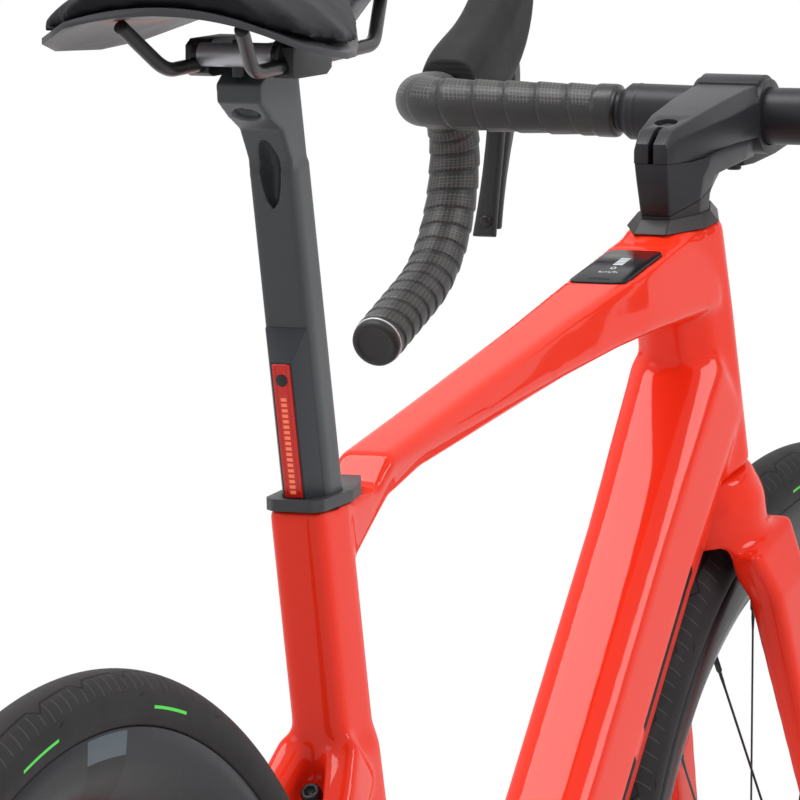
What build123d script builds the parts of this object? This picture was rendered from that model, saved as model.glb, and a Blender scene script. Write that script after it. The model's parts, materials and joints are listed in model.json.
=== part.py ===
from build123d import *
import math
import os

# An electric road bike: carbon frame with its motor in the bottom bracket shell and its battery in
# the down tube. Millimetres. X runs forward, Y to the rider's left, Z up. Everything is laid out
# from the ground under the rear axle, and moved to the rider's place on the saddle when written.

# Wheels: 622 mm rims with 32 mm tyres
BEAD_R = 311.0
TYRE_HEIGHT = 32.0
TYRE_WIDTH = 33.0
RIM_DEPTH = 40.0
RIM_WIDTH = 28.0
HOOK_HEIGHT = 6.0
HOOK_WALL = 2.5
WHEEL_R = BEAD_R + TYRE_HEIGHT
RIM_OUTER_R = BEAD_R + HOOK_HEIGHT
RIM_INNER_R = RIM_OUTER_R - RIM_DEPTH
SPOKES = 24
SPOKE_D = 2.0
AXLE_D = 12.0
ROTOR_R = 80.0
ROTOR_THICK = 1.8
FRONT_HUB = 100.0
REAR_HUB = 142.0
ROTOR_INSET = 15.3
ROTOR_BORE = 17.5

# Frame geometry
CHAINSTAY = 418.0
BB_DROP = 75.0
WHEELBASE = 1004.0
HEAD_ANGLE = 72.0
FORK_OFFSET = 46.0
CROWN_T = 380.0
HEAD_TUBE = 147.0
SEAT_ANGLE = 75.6
TYRE_CLEAR = 8.0
SIDE_CLEAR = 6.0

# Clearances
RUN_FIT = 0.05
HOSE_R = 2.5
SEAT_FIT = 0.3
STEER_GAP = 0.5
SWING_CLEAR = 5.0

# Drivetrain
PITCH = 12.7
RING_TEETH = 48
CRANK = 172.5
CHAIN_Y = -43.5
SPROCKETS = (11, 13, 15, 17, 19, 21, 24, 27, 31, 35, 40)
DRIVEN = 6
SPROCKET_STEP = 3.7
PULLEY_TEETH = 12
CAGE = 93.0
Q_HALF = 74.0
MOTOR_R = 58.0
MOTOR_HALF = 34.0
SPINDLE_D = 24.0
SHELL_WALL = 5.0

# Display set into the top tube, and battery in the down tube
DISPLAY_X = 708.0
DISPLAY_LONG = 67.0
DISPLAY_WIDE = 32.0
DISPLAY_DEEP = 5.0
BATTERY_WIDE = 36.0
BATTERY_DEEP = 52.0
BATTERY_SPAN = (0.24, 0.76)
COVER_SLITS = ((0.28, 0.44), (0.47, 0.63), (0.66, 0.83))
SLIT_DROP = 20.0
SLIT_FLOOR = 21.5

BB_X = math.sqrt(CHAINSTAY**2 - BB_DROP**2)
BB_Z = WHEEL_R - BB_DROP
FRONT_X = WHEELBASE

# The rider's place on the saddle, which is where the finished bike is held
RIDER = Vector(205, 0, 1002)

# Steering axis, as a foot level with the front axle and a direction up it
UP = Vector(-math.cos(math.radians(HEAD_ANGLE)), 0, math.sin(math.radians(HEAD_ANGLE)))
AHEAD = Vector(UP.Z, 0, -UP.X)
FOOT = Vector(FRONT_X, 0, WHEEL_R) - AHEAD * FORK_OFFSET


def steer(t, f=0.0, y=0.0):
    """A point t up the steering axis and f ahead of it."""
    return FOOT + UP * t + AHEAD * f + Vector(0, y, 0)


def square(point, direction):
    """A plane square to a tube; its own x is the bike's left, its own y the tube's upper side."""
    return Plane(origin=point, x_dir=(0, 1, 0), z_dir=direction)


def softened(outline, setback):
    """A closed outline whose every corner is an arc that starts setback before it."""
    edges = []
    corners = []
    for before, corner, after in zip(outline[-1:] + outline[:-1], outline, outline[1:] + outline[:1]):
        here = Vector(*corner)
        back = (Vector(*before) - here).normalized()
        ahead = (Vector(*after) - here).normalized()
        half_turn = math.radians(back.get_angle(ahead)) / 2
        inwards = (back + ahead).normalized()
        sagitta = setback / math.cos(half_turn) - setback * math.tan(half_turn)
        corners.append((here + back * setback, here + inwards * sagitta, here + ahead * setback))
    for (start, middle, end), (following, _, _) in zip(corners, corners[1:] + corners[:1]):
        edges.append(ThreePointArc(start, middle, end))
        edges.append(Line(end, following))
    return make_face(edges)


def faceted(point, direction, half, soft):
    """A tube's section from its half outline (sideways, upward), with softened corners."""
    outline = [(a, b) for a, b in half] + [(-a, b) for a, b in reversed(half)]
    return square(point, direction) * softened(outline, soft)


def bar_section(point, direction, wide, deep, soft):
    """A rounded rectangle square to a stay or blade."""
    return square(point, direction) * RectangleRounded(wide, deep, soft)


def cylinder_y(x, z, radius, low, high):
    """A round bar across the bike."""
    plane = Plane(origin=(x, low, z), x_dir=(1, 0, 0), z_dir=(0, 1, 0))
    return extrude(plane * Circle(radius), amount=high - low)


def side_plate(points, low, high):
    """A flat outline seen from the side, as thick as low to high."""
    face = make_face(Polyline(*[(x, 0, z) for x, z in points], close=True))
    return extrude(Pos(0, low, 0) * face, amount=high - low, dir=(0, 1, 0))


def mirrored(shape):
    """The same piece on the other side of the bike."""
    return mirror(shape, about=Plane.XZ)


def both(shape):
    return Compound(children=[shape, mirrored(shape)])


def turned(profile):
    """A profile in radius and sideways offset, turned about an axle through the origin."""
    face = make_face(Polyline(*[(r, y, 0) for r, y in profile], close=True))
    return revolve(face, axis=Axis.Y)


# ---- Frame: every tube is lofted, the tubes are joined, and the joined shell is cut where the
# tubes of the real frame meet.

DT_LOW = Vector(BB_X - 17, 0, BB_Z)
DT_HIGH = Vector(830, 0, 730)
DT_DIR = (DT_HIGH - DT_LOW).normalized()
TOP_SLOPE = 10.0
TOP_FOOT = Vector(372, 0, 754.5)
TOP_DIR = Vector(math.cos(math.radians(TOP_SLOPE)), 0, math.sin(math.radians(TOP_SLOPE)))
TOP_UP = Vector(-TOP_DIR.Z, 0, TOP_DIR.X)
SEAT_DIR = Vector(-math.cos(math.radians(SEAT_ANGLE)), 0, math.sin(math.radians(SEAT_ANGLE)))
SEAT_TOP = Vector(290.3, 0, 732)
COLLAR_SLOPE = 2.9
COLLAR_RISE = 1.7
COLLAR_DIR = Vector(-math.sin(math.radians(COLLAR_SLOPE)), 0, math.cos(math.radians(COLLAR_SLOPE)))
YOKE_DROP = 118.0
CROWN_SWING_R = 34.0
HEAD_TOP = Vector(800, 0, 830)
HEAD_TOP_DIR = Vector(-math.sin(math.radians(5)), 0, math.cos(math.radians(5)))


def down_tube():
    low = [(15, 40), (27, 32), (27, -14), (18, -42)]
    middle = [(13.4, 39), (24.4, 32.5), (24.4, -10), (15, -39)]
    high = [(15, 43), (27, 34), (27, -8), (17, -39)]
    places = ((0.08, low), (0.55, middle), (0.82, middle), (1.0, high))
    rings = [faceted(DT_LOW + (DT_HIGH - DT_LOW) * s, DT_DIR, half, 2.5) for s, half in places]
    return loft(rings, ruled=True)


def top_height(x):
    """Height of the top tube's upper face."""
    return TOP_FOOT.Z + (x - TOP_FOOT.X) * math.tan(math.radians(TOP_SLOPE))


# upright sections of the top tube with the gusset under its seat end: place, half widths of its
# upper face, side crease and keel, heights of crease and keel
TOP_TUBE = (
    (296, 12.5, 16.0, 8.0, 736, 686),
    (316, 13.0, 16.0, 8.0, 741, 699),
    (359, 13.0, 16.0, 8.5, 747, 727),
    (400, 13.3, 16.4, 9.5, 751, 738),
    (461, 13.5, 17.0, 10.0, 756.5, 746),
    (594, 15.0, 19.0, 11.0, 769.5, 764),
    (666, 17.5, 21.5, 12.5, 776.5, 772.5),
    (705, 19.0, 23.5, 15.0, 780, 776),
    (805, 20.0, 26.0, 20.0, 786, 781),
)


def top_tube():
    rings = []
    for x, top, side, keel, crease, bottom in TOP_TUBE:
        half = [(top, top_height(x)), (side, crease), (keel, bottom)]
        rings.append(faceted(Vector(x, 0, 0), Vector(1, 0, 0), half, 1.8))
    return loft(rings, ruled=True)


def head_tube():
    low = [(9, 30), (22, 18), (27, -8), (12, -33)]
    high = [(9, 38), (20, 22), (23, -14), (8, -46)]
    rings = [
        faceted(steer(CROWN_T), UP, low, 4.0),
        faceted(steer(CROWN_T + HEAD_TUBE * 0.6), UP, low, 4.0),
        faceted(steer(CROWN_T + HEAD_TUBE + 20), UP, high, 4.0),
    ]
    return loft(rings, ruled=True)


def seat_tube():
    """Its rear is flat for the tail light; below the yoke's step it is wider."""
    upper = [(9.7, 32.7), (14.7, 28), (16, -2), (8, -18.7)]
    yoke = [(11.5, 32.7), (18.5, 25), (18.5, -3), (9, -20)]
    middle = [(11, 31), (18, 22), (18, -10), (10, -25)]
    low = [(10, 26), (17, 18), (17, -24), (10, -34)]
    places = ((12, upper), (-YOKE_DROP, upper), (-YOKE_DROP - 9, yoke), (-260, middle), (-440, low))
    rings = [faceted(SEAT_TOP + SEAT_DIR * s, SEAT_DIR, half, 2.2) for s, half in places]
    return loft(rings, ruled=True)


def mudguard_pocket():
    """The recess between the seat stays with the boss for a mudguard's bolt."""
    rear = SEAT_TOP + SEAT_DIR * (-YOKE_DROP - 42) + POST_N * 40
    face = Plane(origin=rear, x_dir=(0, 1, 0), z_dir=POST_N * -1)
    recess = extrude(face * RectangleRounded(17, 52, 3), amount=15)
    boss = extrude(face.offset(9) * Pos(0, -12) * Circle(6.5), amount=8)
    return recess - boss


def chainstay():
    places = (
        (385, 29, 272, 14, 34),
        (325, 29.8, 284, 14.5, 30),
        (240, 37, 300, 14, 26),
        (105, 67, 325, 14, 22),
        (6, 76.3, 342, 10, 22),
    )
    rings = [bar_section(Vector(x, y, z), Vector(-1, 0, 0.18), w, h, 4.0) for x, y, z, w, h in places]
    return loft(rings, ruled=True)


def seatstay():
    places = (
        (302, 12, 604, 18, 36),
        (283, 17, 588, 17, 30),
        (256, 23, 561, 14, 23),
        (150, 44, 476, 12, 18),
        (70, 68, 405, 11, 17),
        (2, 76.3, 346, 10, 17),
    )
    rings = [bar_section(Vector(x, y, z), Vector(-1, 0, -1), w, h, 3.5) for x, y, z, w, h in places]
    return loft(rings, ruled=True)


def frame_shell():
    dropout = cylinder_y(0, WHEEL_R, 17, REAR_HUB / 2, REAR_HUB / 2 + 10)
    shell = down_tube() + top_tube() + head_tube() + seat_tube()
    shell += cylinder_y(BB_X, BB_Z, MOTOR_R + SHELL_WALL, -MOTOR_HALF - 3, MOTOR_HALF + 3)
    for stay in (chainstay(), seatstay(), dropout):
        shell += stay
        shell += mirrored(stay)
    # room for the rear tyre, the fork crown's swing, the headset's flat top and the two axles
    half = TYRE_WIDTH / 2 + SIDE_CLEAR
    shell -= cylinder_y(0, WHEEL_R, WHEEL_R + TYRE_CLEAR, -half, half)
    shell -= extrude(square(steer(0), UP) * Circle(CROWN_SWING_R + SWING_CLEAR), amount=CROWN_T)
    shell -= extrude(square(steer(0), UP) * Circle(80), amount=CROWN_T - 40)
    shell -= cylinder_y(0, WHEEL_R, AXLE_D / 2 + RUN_FIT, -90, 90)
    top = Plane(origin=HEAD_TOP, x_dir=(0, 1, 0), z_dir=HEAD_TOP_DIR)
    shell -= extrude(top * Rectangle(120, 200), amount=80)
    shell -= cylinder_y(0, WHEEL_R, 20, -REAR_HUB / 2, REAR_HUB / 2)
    # the seat collar's flat, with the top tube's end sloping down to it
    nose = SEAT_TOP.X + 46
    step = [(200, collar_height(200)), (nose, collar_height(nose)), (nose + 16, top_height(nose + 16)),
            (nose + 16, 830), (200, 830)]
    shell -= side_plate(step, -60, 60)
    return shell - mudguard_pocket()


def collar_height(x):
    """Height of the flat that the seat collar sits on."""
    return SEAT_TOP.Z + COLLAR_RISE + (x - SEAT_TOP.X) * math.tan(math.radians(COLLAR_SLOPE))


def region(points):
    """A slab through the whole bike, bounded in side view, that picks out one tube of the shell."""
    return side_plate(points, -120, 120)


def largest(shape):
    return max(shape.solids(), key=lambda s: s.volume)


def frame_parts():
    shell = frame_shell()
    top_seam = ((662, 850), (676, 745))
    down_seam = ((680, 690), (800, 577))
    seat_seam = ((356, 800), (356, 690))
    shell_seam = ((480, 400), (494, 180))
    regions = {
        "head_tube": [*top_seam, *down_seam, (960, 560), (960, 900), (662, 900)],
        "top_tube": [*seat_seam, (420, 640), top_seam[1], top_seam[0], (662, 900), (356, 900)],
        "down_tube": [shell_seam[0], (600, 720), *down_seam, (860, 180), shell_seam[1]],
        "seat_tube": [*seat_seam, shell_seam[0], (335, 362), (300, 500), (277, 545), (268, 640), (225, 700),
                      (225, 900), (356, 900)],
        "motor_shell": [*shell_seam, (335, 180), (335, 362)],
        "chainstays": [(-40, 180), (335, 180), (335, 362), (-40, 362)],
        "seatstays": [(-40, 362), (335, 362), (300, 500), (277, 545), (268, 640), (225, 700), (-40, 700)],
    }
    return shell, regions


# ---- Wheels: every piece is turned about its axle at the origin, then moved to its place

def tyre():
    half = TYRE_WIDTH / 2
    centre = WHEEL_R - half
    bead = RIM_WIDTH / 2 - HOOK_WALL - SEAT_FIT
    low = RIM_OUTER_R + SEAT_FIT
    side = math.sqrt(half**2 - (centre - low) ** 2)
    outline = [
        Line((BEAD_R + SEAT_FIT, bead), (low, bead)),
        Line((low, bead), (low, side)),
        ThreePointArc((low, side), (WHEEL_R, 0), (low, -side)),
        Line((low, -side), (low, -bead)),
        Line((low, -bead), (BEAD_R + SEAT_FIT, -bead)),
        Line((BEAD_R + SEAT_FIT, -bead), (BEAD_R + SEAT_FIT, bead)),
    ]
    return revolve(make_face(outline), axis=Axis.Y)


def rim():
    half = RIM_WIDTH / 2
    nose = 5.0
    outline = [
        Polyline((RIM_INNER_R + 4, nose), (RIM_OUTER_R - 20, half - 1), (RIM_OUTER_R, half),
                 (RIM_OUTER_R, half - HOOK_WALL), (BEAD_R, half - HOOK_WALL), (BEAD_R, -half + HOOK_WALL),
                 (RIM_OUTER_R, -half + HOOK_WALL), (RIM_OUTER_R, -half), (RIM_OUTER_R - 20, -half + 1),
                 (RIM_INNER_R + 4, -nose)),
        ThreePointArc((RIM_INNER_R + 4, -nose), (RIM_INNER_R, 0), (RIM_INNER_R + 4, nose)),
    ]
    return revolve(make_face(outline), axis=Axis.Y)


def hub(width, left, right, flange, barrel, disc):
    """A hub shell with two spoke flanges, end caps, a boss for its disc and a bore for its axle."""
    end = width / 2 - SEAT_FIT
    bore = AXLE_D / 2 + RUN_FIT
    cap = 9.5
    return turned([
        (bore, -end), (cap, -end), (cap, -right - 6), (barrel, -right - 4), (flange, -right - 2),
        (flange, -right + 2), (barrel, -right + 8), (barrel, left - 8), (flange, left - 2),
        (flange, left + 2), (ROTOR_BORE - SEAT_FIT, left + 4), (ROTOR_BORE - SEAT_FIT, disc + 3),
        (cap, disc + 4), (cap, end), (bore, end),
    ])


def spokes(left, right, flange):
    """Half of the spokes to each flange, in crossed pairs, as round bars."""
    bars = []
    for i in range(SPOKES):
        side = left if i % 2 else -right
        at_rim = 360 / SPOKES * i
        lean = 45 if (i // 2) % 2 else -45
        hub_end = Vector(flange - 3, side, 0).rotate(Axis.Y, at_rim + lean)
        rim_end = Vector(RIM_INNER_R + 2, 0, 0).rotate(Axis.Y, at_rim)
        bar = Plane(origin=hub_end, z_dir=rim_end - hub_end) * Circle(SPOKE_D / 2)
        bars.append(extrude(bar, amount=(rim_end - hub_end).length))
    return Compound(children=bars)


def rotor(y):
    outer, track, ring_r, bore = ROTOR_R, ROTOR_R - 14, 24, ROTOR_BORE
    disc = Circle(outer) - Circle(track)
    hubring = Circle(ring_r) - Circle(bore)
    long = track - ring_r + 8
    arms = [Rot(0, 0, 60 * i + 12) * Pos((track + ring_r) / 2, 0) * Rot(0, 0, 20) * Rectangle(long, 6)
            for i in range(6)]
    flat = disc + hubring
    for arm in arms:
        flat += arm - Circle(ring_r - 3) - (Circle(200) - Circle(track + 3))
    plane = Plane(origin=(0, y - ROTOR_THICK / 2, 0), x_dir=(1, 0, 0), z_dir=(0, 1, 0))
    return extrude(plane * flat, amount=ROTOR_THICK)


# ---- Steering: fork, stem, bar, levers. Laid out along the steering axis.

STEERER_R = 12.7
CROWN_TOP_T = CROWN_T - 0.5
SEAM_T = CROWN_T + 161.0
STEERER_TOP_T = SEAM_T + 30.0
CLAMP_WALL = 5.0
CLAMP = Vector(898, 0, 882)
BAR_R = 15.9


def steerer_bar(low, radius, high):
    """A round bar along the steering axis."""
    return extrude(square(steer(low), UP) * Circle(radius), amount=high - low)


def fork():
    places = (
        (CROWN_T - 12, 0, 15, 22, 50),
        (CROWN_T - 40, 0, 28, 24, 60),
        (CROWN_T - 70, 3, 37, 20, 48),
        (180, 18, 43, 15, 36),
        (70, 37, 51, 12, 26),
        (22, 44, 55, 10, 24),
        (0, FORK_OFFSET, 55, 10, 24),
    )
    rings = [bar_section(steer(t, f, y), UP, w, h, 4.5) for t, f, y, w, h in places]
    leg = loft(rings, ruled=True)
    leg += cylinder_y(FRONT_X, WHEEL_R, 15, FRONT_HUB / 2, FRONT_HUB / 2 + 10)
    low, high = CROWN_T - 40, CROWN_T + 20
    leg -= steerer_bar(low, 80, high) - steerer_bar(low, CROWN_SWING_R, high)
    crown = loft([
        square(steer(CROWN_TOP_T), UP) * Circle(CROWN_SWING_R - 6),
        square(steer(CROWN_T - 18), UP) * Circle(CROWN_SWING_R),
        square(steer(CROWN_T - 40), UP) * Circle(CROWN_SWING_R),
    ], ruled=True)
    steerer = steerer_bar(CROWN_T - 10, STEERER_R, STEERER_TOP_T)
    body = crown + leg + mirrored(leg)
    half = TYRE_WIDTH / 2 + SIDE_CLEAR
    body -= cylinder_y(FRONT_X, WHEEL_R, WHEEL_R + TYRE_CLEAR, -half, half)
    body -= cylinder_y(FRONT_X, WHEEL_R, AXLE_D / 2 + RUN_FIT, -90, 90)
    body += steerer
    return body


NECK_R = 46.0
# level outlines of the neck between headset and stem: height, then places and half widths of its
# rear edge, its two sides and its nose
NECK = (
    (832, 770.0, 8.3, 793, 17.0, 806, 17.0, 834, 7.0),
    (845, 766.3, 8.7, 793, 17.3, 808, 17.3, 835, 8.0),
    (855.5, 763.3, 9.1, 795, 18.3, 814, 18.3, 843, 11.0),
    (861, 762.0, 9.3, 800, 19.5, 862, 19.5, 882, 17.0),
    (876, 758.5, 9.6, 808, 20.0, 866, 20.0, 884, 18.0),
)
# the joint between neck and stem, seen from the side
SPLIT = ((740, 864.4), (786, 864.7), (800, 865.8), (812, 868), (840, 870.6), (900, 872))


def outline_at(z, rear, rear_half, first, first_half, second, second_half, nose, nose_half):
    half = [(rear, rear_half), (first, first_half), (second, second_half), (nose, nose_half)]
    outline = half + [(x, -y) for x, y in reversed(half)]
    return Pos(0, 0, z) * softened(outline, 1.2)


def neck():
    body = loft([outline_at(*row) for row in NECK], ruled=True)
    return body - cylinder_y(CLAMP.X, CLAMP.Z, BAR_R + CLAMP_WALL + SEAT_FIT, -40, 40)


def above_split(gap):
    """Everything over the joint between neck and stem."""
    points = [(x, z + gap) for x, z in SPLIT]
    return side_plate(points + [(900, 990), (740, 990)], -60, 60)


def headset_cover():
    """The fixed cover: a low flange with a flat rear, and the neck's foot up to the steering seam."""
    base = square(HEAD_TOP, HEAD_TOP_DIR)
    foot = [(9.5, 40), (23, 14), (23, -8), (8, -47)]
    rim = [(8.6, 32), (18.5, 8), (18.5, -6), (8, -36)]
    flange = loft([faceted(HEAD_TOP, HEAD_TOP_DIR, foot, 1.5),
                   faceted(HEAD_TOP + HEAD_TOP_DIR * 6.5, HEAD_TOP_DIR, rim, 1.5)], ruled=True)
    foot_of_neck = neck() - extrude(square(steer(SEAM_T), UP) * Rectangle(400, 400), amount=200)
    foot_of_neck &= steerer_bar(SEAM_T - 60, NECK_R, SEAM_T + 20)
    foot_of_neck -= extrude(base * Rectangle(200, 200), amount=-60)
    cover = flange + foot_of_neck
    return largest(cover - steerer_bar(CROWN_T, STEERER_R + RUN_FIT, STEERER_TOP_T + 40))


def stem_spacer():
    """The neck above the steering seam, which turns with the stem."""
    body = neck() - above_split(0)
    body -= steerer_bar(CROWN_T, NECK_R + 1, SEAM_T + STEER_GAP)
    body -= steerer_bar(CROWN_T, STEERER_R + SEAT_FIT, STEERER_TOP_T)
    return largest(body)


# upright sections of the stem: place, then half width and height of its top edge, the side under
# the chamfer and its foot
STEM = (
    (761.0, 8.6, 875.5, 9.6, 872, 9.6, 860),
    (770.5, 9.6, 882.4, 11.6, 877, 11.6, 860),
    (800.0, 13.3, 889.0, 16.8, 882, 16.8, 860),
    (835.0, 15.0, 894.5, 19.8, 886, 19.8, 860),
    (870.0, 16.5, 899.0, 20.6, 890, 20.6, 860),
    (902.0, 17.5, 901.0, 20.6, 893, 20.6, 860),
)


def stem():
    rings = []
    for x, top, top_z, side, side_z, low, low_z in STEM:
        half = [(top, top_z), (side, side_z), (low, low_z)]
        rings.append(faceted(Vector(x, 0, 0), Vector(1, 0, 0), half, 1.0))
    body = loft(rings, ruled=True) & above_split(SEAT_FIT)
    body += cylinder_y(CLAMP.X, CLAMP.Z, BAR_R + CLAMP_WALL, -20.6, 20.6)
    # the face plate's raised front
    plate = cylinder_y(CLAMP.X, CLAMP.Z, BAR_R + CLAMP_WALL + 2.2, -17.5, 17.5)
    body += plate & side_plate([(885, 898), (885, 910), (930, 910), (930, 866), (905, 866)], -30, 30)
    body -= cylinder_y(CLAMP.X, CLAMP.Z, BAR_R + SEAT_FIT, -40, 40)
    body -= steerer_bar(CROWN_T, STEERER_R + SEAT_FIT, STEERER_TOP_T + 1)
    # the slot that closes on the steerer, and the countersink of its bolt
    body -= Pos(765, 0, 872) * Box(24, 3.2, 40)
    countersink = Plane(origin=(787, 0, 880), z_dir=(-0.24, 0, 0.97))
    body -= extrude(countersink * Circle(6.5), amount=20)
    return largest(body)


BAR_POINTS = (Vector(898, 0, 882), Vector(898, 200, 884), Vector(986, 201, 884),
              Vector(977, 203, 790), Vector(875, 206, 750))
BAR_RADII = (36, 38, 80)
DROP_R = 12.0
TAPE_R = 15.0
TAPE_START = 66.0


def bar_line():
    return FilletPolyline(*BAR_POINTS, radius=list(BAR_RADII))


def handlebar():
    line = bar_line()
    start = Plane(origin=line @ 0, z_dir=line % 0)
    half = sweep(start * Circle(DROP_R), path=line)
    half += extrude(Plane(origin=CLAMP, z_dir=(0, 1, 0)) * Circle(BAR_R), amount=TAPE_START - 4)
    whole = half + mirrored(half)
    return largest(whole)


def bar_tape():
    line = bar_line()
    start = Plane(origin=line @ 0, z_dir=line % 0)
    sleeve = sweep(start * (Circle(TAPE_R) - Circle(DROP_R + RUN_FIT)), path=line)
    sleeve -= cylinder_y(CLAMP.X, CLAMP.Z, BAR_R + 6, -1, TAPE_START)
    return both(largest(sleeve))


def bar_plugs():
    line = bar_line()
    end = Plane(origin=line @ 1, z_dir=line % 1)
    plug = extrude(end.offset(SEAT_FIT) * Circle(13.4), amount=6)
    return both(plug)


def lofted(stations, soft=3.0, ruled=False):
    """A moulded body through stations of place, direction, width and depth."""
    rings = []
    for place, direction, wide, deep in stations:
        corner = min(soft, 0.45 * min(wide, deep))
        rings.append(bar_section(Vector(*place), Vector(*direction), wide, deep, corner))
    return loft(rings, ruled=ruled)


def brake_hoods():
    hood = lofted((
        ((966, 200, 886), (1, 0, 0), 33, 36),
        ((1004, 200, 898), (1, 0, 0.4), 36, 44),
        ((1036, 200, 914), (1, 0, 0.9), 34, 44),
        ((1057, 200, 940), (0.5, 0, 1), 31, 36),
        ((1064, 200, 960), (0.2, 0, 1), 25, 26),
    ), 12)
    line = bar_line()
    start = Plane(origin=line @ 0, z_dir=line % 0)
    hood -= sweep(start * Circle(TAPE_R + SEAT_FIT), path=line)
    return both(largest(hood))


def brake_levers():
    lever = lofted((
        ((1050, 200, 905), (0.5, 0, -1), 16, 16),
        ((1060, 200, 880), (-0.1, 0, -1), 14, 12),
        ((1051, 201, 845), (-0.2, 0, -1), 13, 9),
        ((1045, 202, 815), (-0.1, 0, -1), 12, 7),
        ((1042, 202, 800), (-0.1, 0, -1), 12, 6),
    ), 2.5)
    return both(lever) - brake_hoods()


def shift_paddles():
    paddle = lofted((
        ((1042, 198, 892), (0, 0, -1), 9, 9),
        ((1037, 198, 852), (-0.1, 0, -1), 11, 6),
        ((1031, 199, 823), (-0.2, 0, -1), 12, 5),
        ((1025, 200, 797), (-0.3, 0, -1), 15, 4),
    ), 1.8)
    return both(paddle) - brake_hoods()


def computer_mount():
    """The slotted bracket that runs forward from under the stem's clamp."""
    top = CLAMP.Z - BAR_R - CLAMP_WALL - SEAT_FIT
    outline = [(887, top), (905, top), (940, top + 2), (985, top + 8), (985, top + 4), (940, top - 3),
               (905, top - 6), (887, top - 6)]
    bracket = side_plate(outline, -9, 9)
    for x in (925, 958):
        bracket -= Pos(x, 0, top) * Box(20, 8, 40)
    return bracket


# ---- Seatpost, saddle and tail light

POST_ORIGIN = Vector(254.3, 0, 872.2)
POST_LOW = -235.0
POST_HIGH = 33.0
LIGHT_LOW = -144.0
POST_N = Vector(-SEAT_DIR.Z, 0, SEAT_DIR.X)


def along_post(s, n=0.0, y=0.0):
    """A point s up the seatpost and n behind its middle."""
    return POST_ORIGIN + SEAT_DIR * s + POST_N * n + Vector(0, y, 0)


def post_section(s, grow=0.0):
    """The post's section, whose nose is narrower than its rear."""
    outline = [(11 + grow, 17 + grow), (12.5 + grow, 12 + grow), (12.5 + grow, -3), (7 + grow, -11 - grow)]
    return faceted(along_post(s), SEAT_DIR, outline, 1.8)


def light_section(s, grow=0.0):
    return faceted(along_post(s), SEAT_DIR, [(5.75 + grow, 28 + grow), (11 + grow, 17 + SEAT_FIT)], 0.5)


def seatpost():
    post = extrude(post_section(POST_LOW), amount=POST_HIGH - POST_LOW)
    head = side_plate([(258.5, 899), (247, 950), (200, 952), (189.5, 945), (191, 936), (204, 928),
                       (218, 921.5), (229, 906), (231, 897)], -11.5, 11.5)
    # its front edges carry the post's nose on upwards
    nose = faceted(along_post(0), SEAT_DIR, [(11.5, 60), (11.5, -3), (7, -11)], 1.8)
    post += head & extrude(nose, amount=100)
    # the window in its rear face and the recess of the clamp's bolt
    post -= Pos(222, 0, 899) * Box(12, 10, 33)
    recess = Plane(origin=(200, 0, 927), z_dir=(0.52, 0, 0.85))
    return post - extrude(recess * Circle(6.5), amount=7)


def tail_light():
    body = extrude(light_section(LIGHT_LOW), amount=100)
    wedge = Plane(origin=along_post(-46, 17), x_dir=(0, 1, 0), z_dir=SEAT_DIR * 0.6 + POST_N * 0.8)
    body -= extrude(wedge * Rectangle(100, 100), amount=60)
    lens = extrude(faceted(along_post(-130.5), SEAT_DIR, [(4.6, 29), (4.6, 26)], 0.4), amount=69)
    return body - lens, lens


def seat_collar():
    base = SEAT_TOP + Vector(0, 0, COLLAR_RISE)
    outline = [(10.2, 35), (15.4, 30), (16.8, -4), (12, -26), (5, -43)]
    ring = extrude(faceted(base, COLLAR_DIR, outline, 1.5), amount=6)
    ring -= extrude(post_section(POST_LOW, SEAT_FIT), amount=POST_HIGH - POST_LOW)
    return ring - extrude(light_section(LIGHT_LOW - 5, SEAT_FIT), amount=60)


RAIL_R = 3.5
RAIL_POINTS = (Vector(352, 8, 978), Vector(318, 18, 957), Vector(156, 22.5, 953), Vector(122, 31, 976))


def saddle_rails(grow=0.0):
    line = FilletPolyline(*RAIL_POINTS, radius=[30, 30])
    start = Plane(origin=line @ 0, z_dir=line % 0)
    return both(sweep(start * Circle(RAIL_R + grow), path=line))


# stations along the saddle: place, half width, height of its middle, and how far its sides drop
SADDLE = (
    (98, 50, 1003, 19), (112, 67, 1002.5, 27), (145, 75, 1001, 31), (178, 66, 1000, 31), (205, 56, 1000, 28),
    (240, 40, 1001, 20), (300, 24, 1001, 13), (360, 19, 1000, 8), (385, 10, 997, 5),
)
PAD_THICK = 16.0
PAD_EDGE = 5.0
SHELL_THICK = 4.0
SHELL_EDGE = 3.0


def crescent(x, half, top, drop, thick, edge):
    plane = Plane(origin=(x, 0, 0), x_dir=(0, 1, 0), z_dir=(1, 0, 0))
    side = top - drop
    return plane * make_face([
        ThreePointArc((-half, side), (0, top), (half, side)),
        Line((half, side), (half, side - edge)),
        ThreePointArc((half, side - edge), (0, top - thick), (-half, side - edge)),
        Line((-half, side - edge), (-half, side)),
    ])


def saddle_pad():
    return loft([crescent(*station, PAD_THICK, PAD_EDGE) for station in SADDLE], ruled=True)


def saddle_shell():
    under = PAD_THICK + SEAT_FIT
    faces = [crescent(x, half, top - under, drop - PAD_THICK + PAD_EDGE, SHELL_THICK, SHELL_EDGE)
             for x, half, top, drop in SADDLE]
    return loft(faces, ruled=True) - saddle_rails(RUN_FIT)


def saddle_clamp():
    """Two ears that grip the rails, joined by a cradle and two barrels, with the rear bolt."""
    ear = side_plate([(192, 950), (198, 948), (234, 948), (240, 951), (240, 962), (234, 966), (198, 966),
                      (192, 963)], 16, 28)
    cradle = side_plate([(204, 952.3), (232, 951.2), (232, 961), (204, 961)], -16, 16)
    body = ear + mirrored(ear) + cradle
    body += cylinder_y(190, 959, 5.5, -22, 22) + cylinder_y(236, 956.5, 5.5, -20, 20)
    body += extrude(Plane(origin=(191.5, 0, 948.5)) * Circle(3.2), amount=18)
    return largest(body - saddle_rails(RUN_FIT))


# ---- Drivetrain

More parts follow.
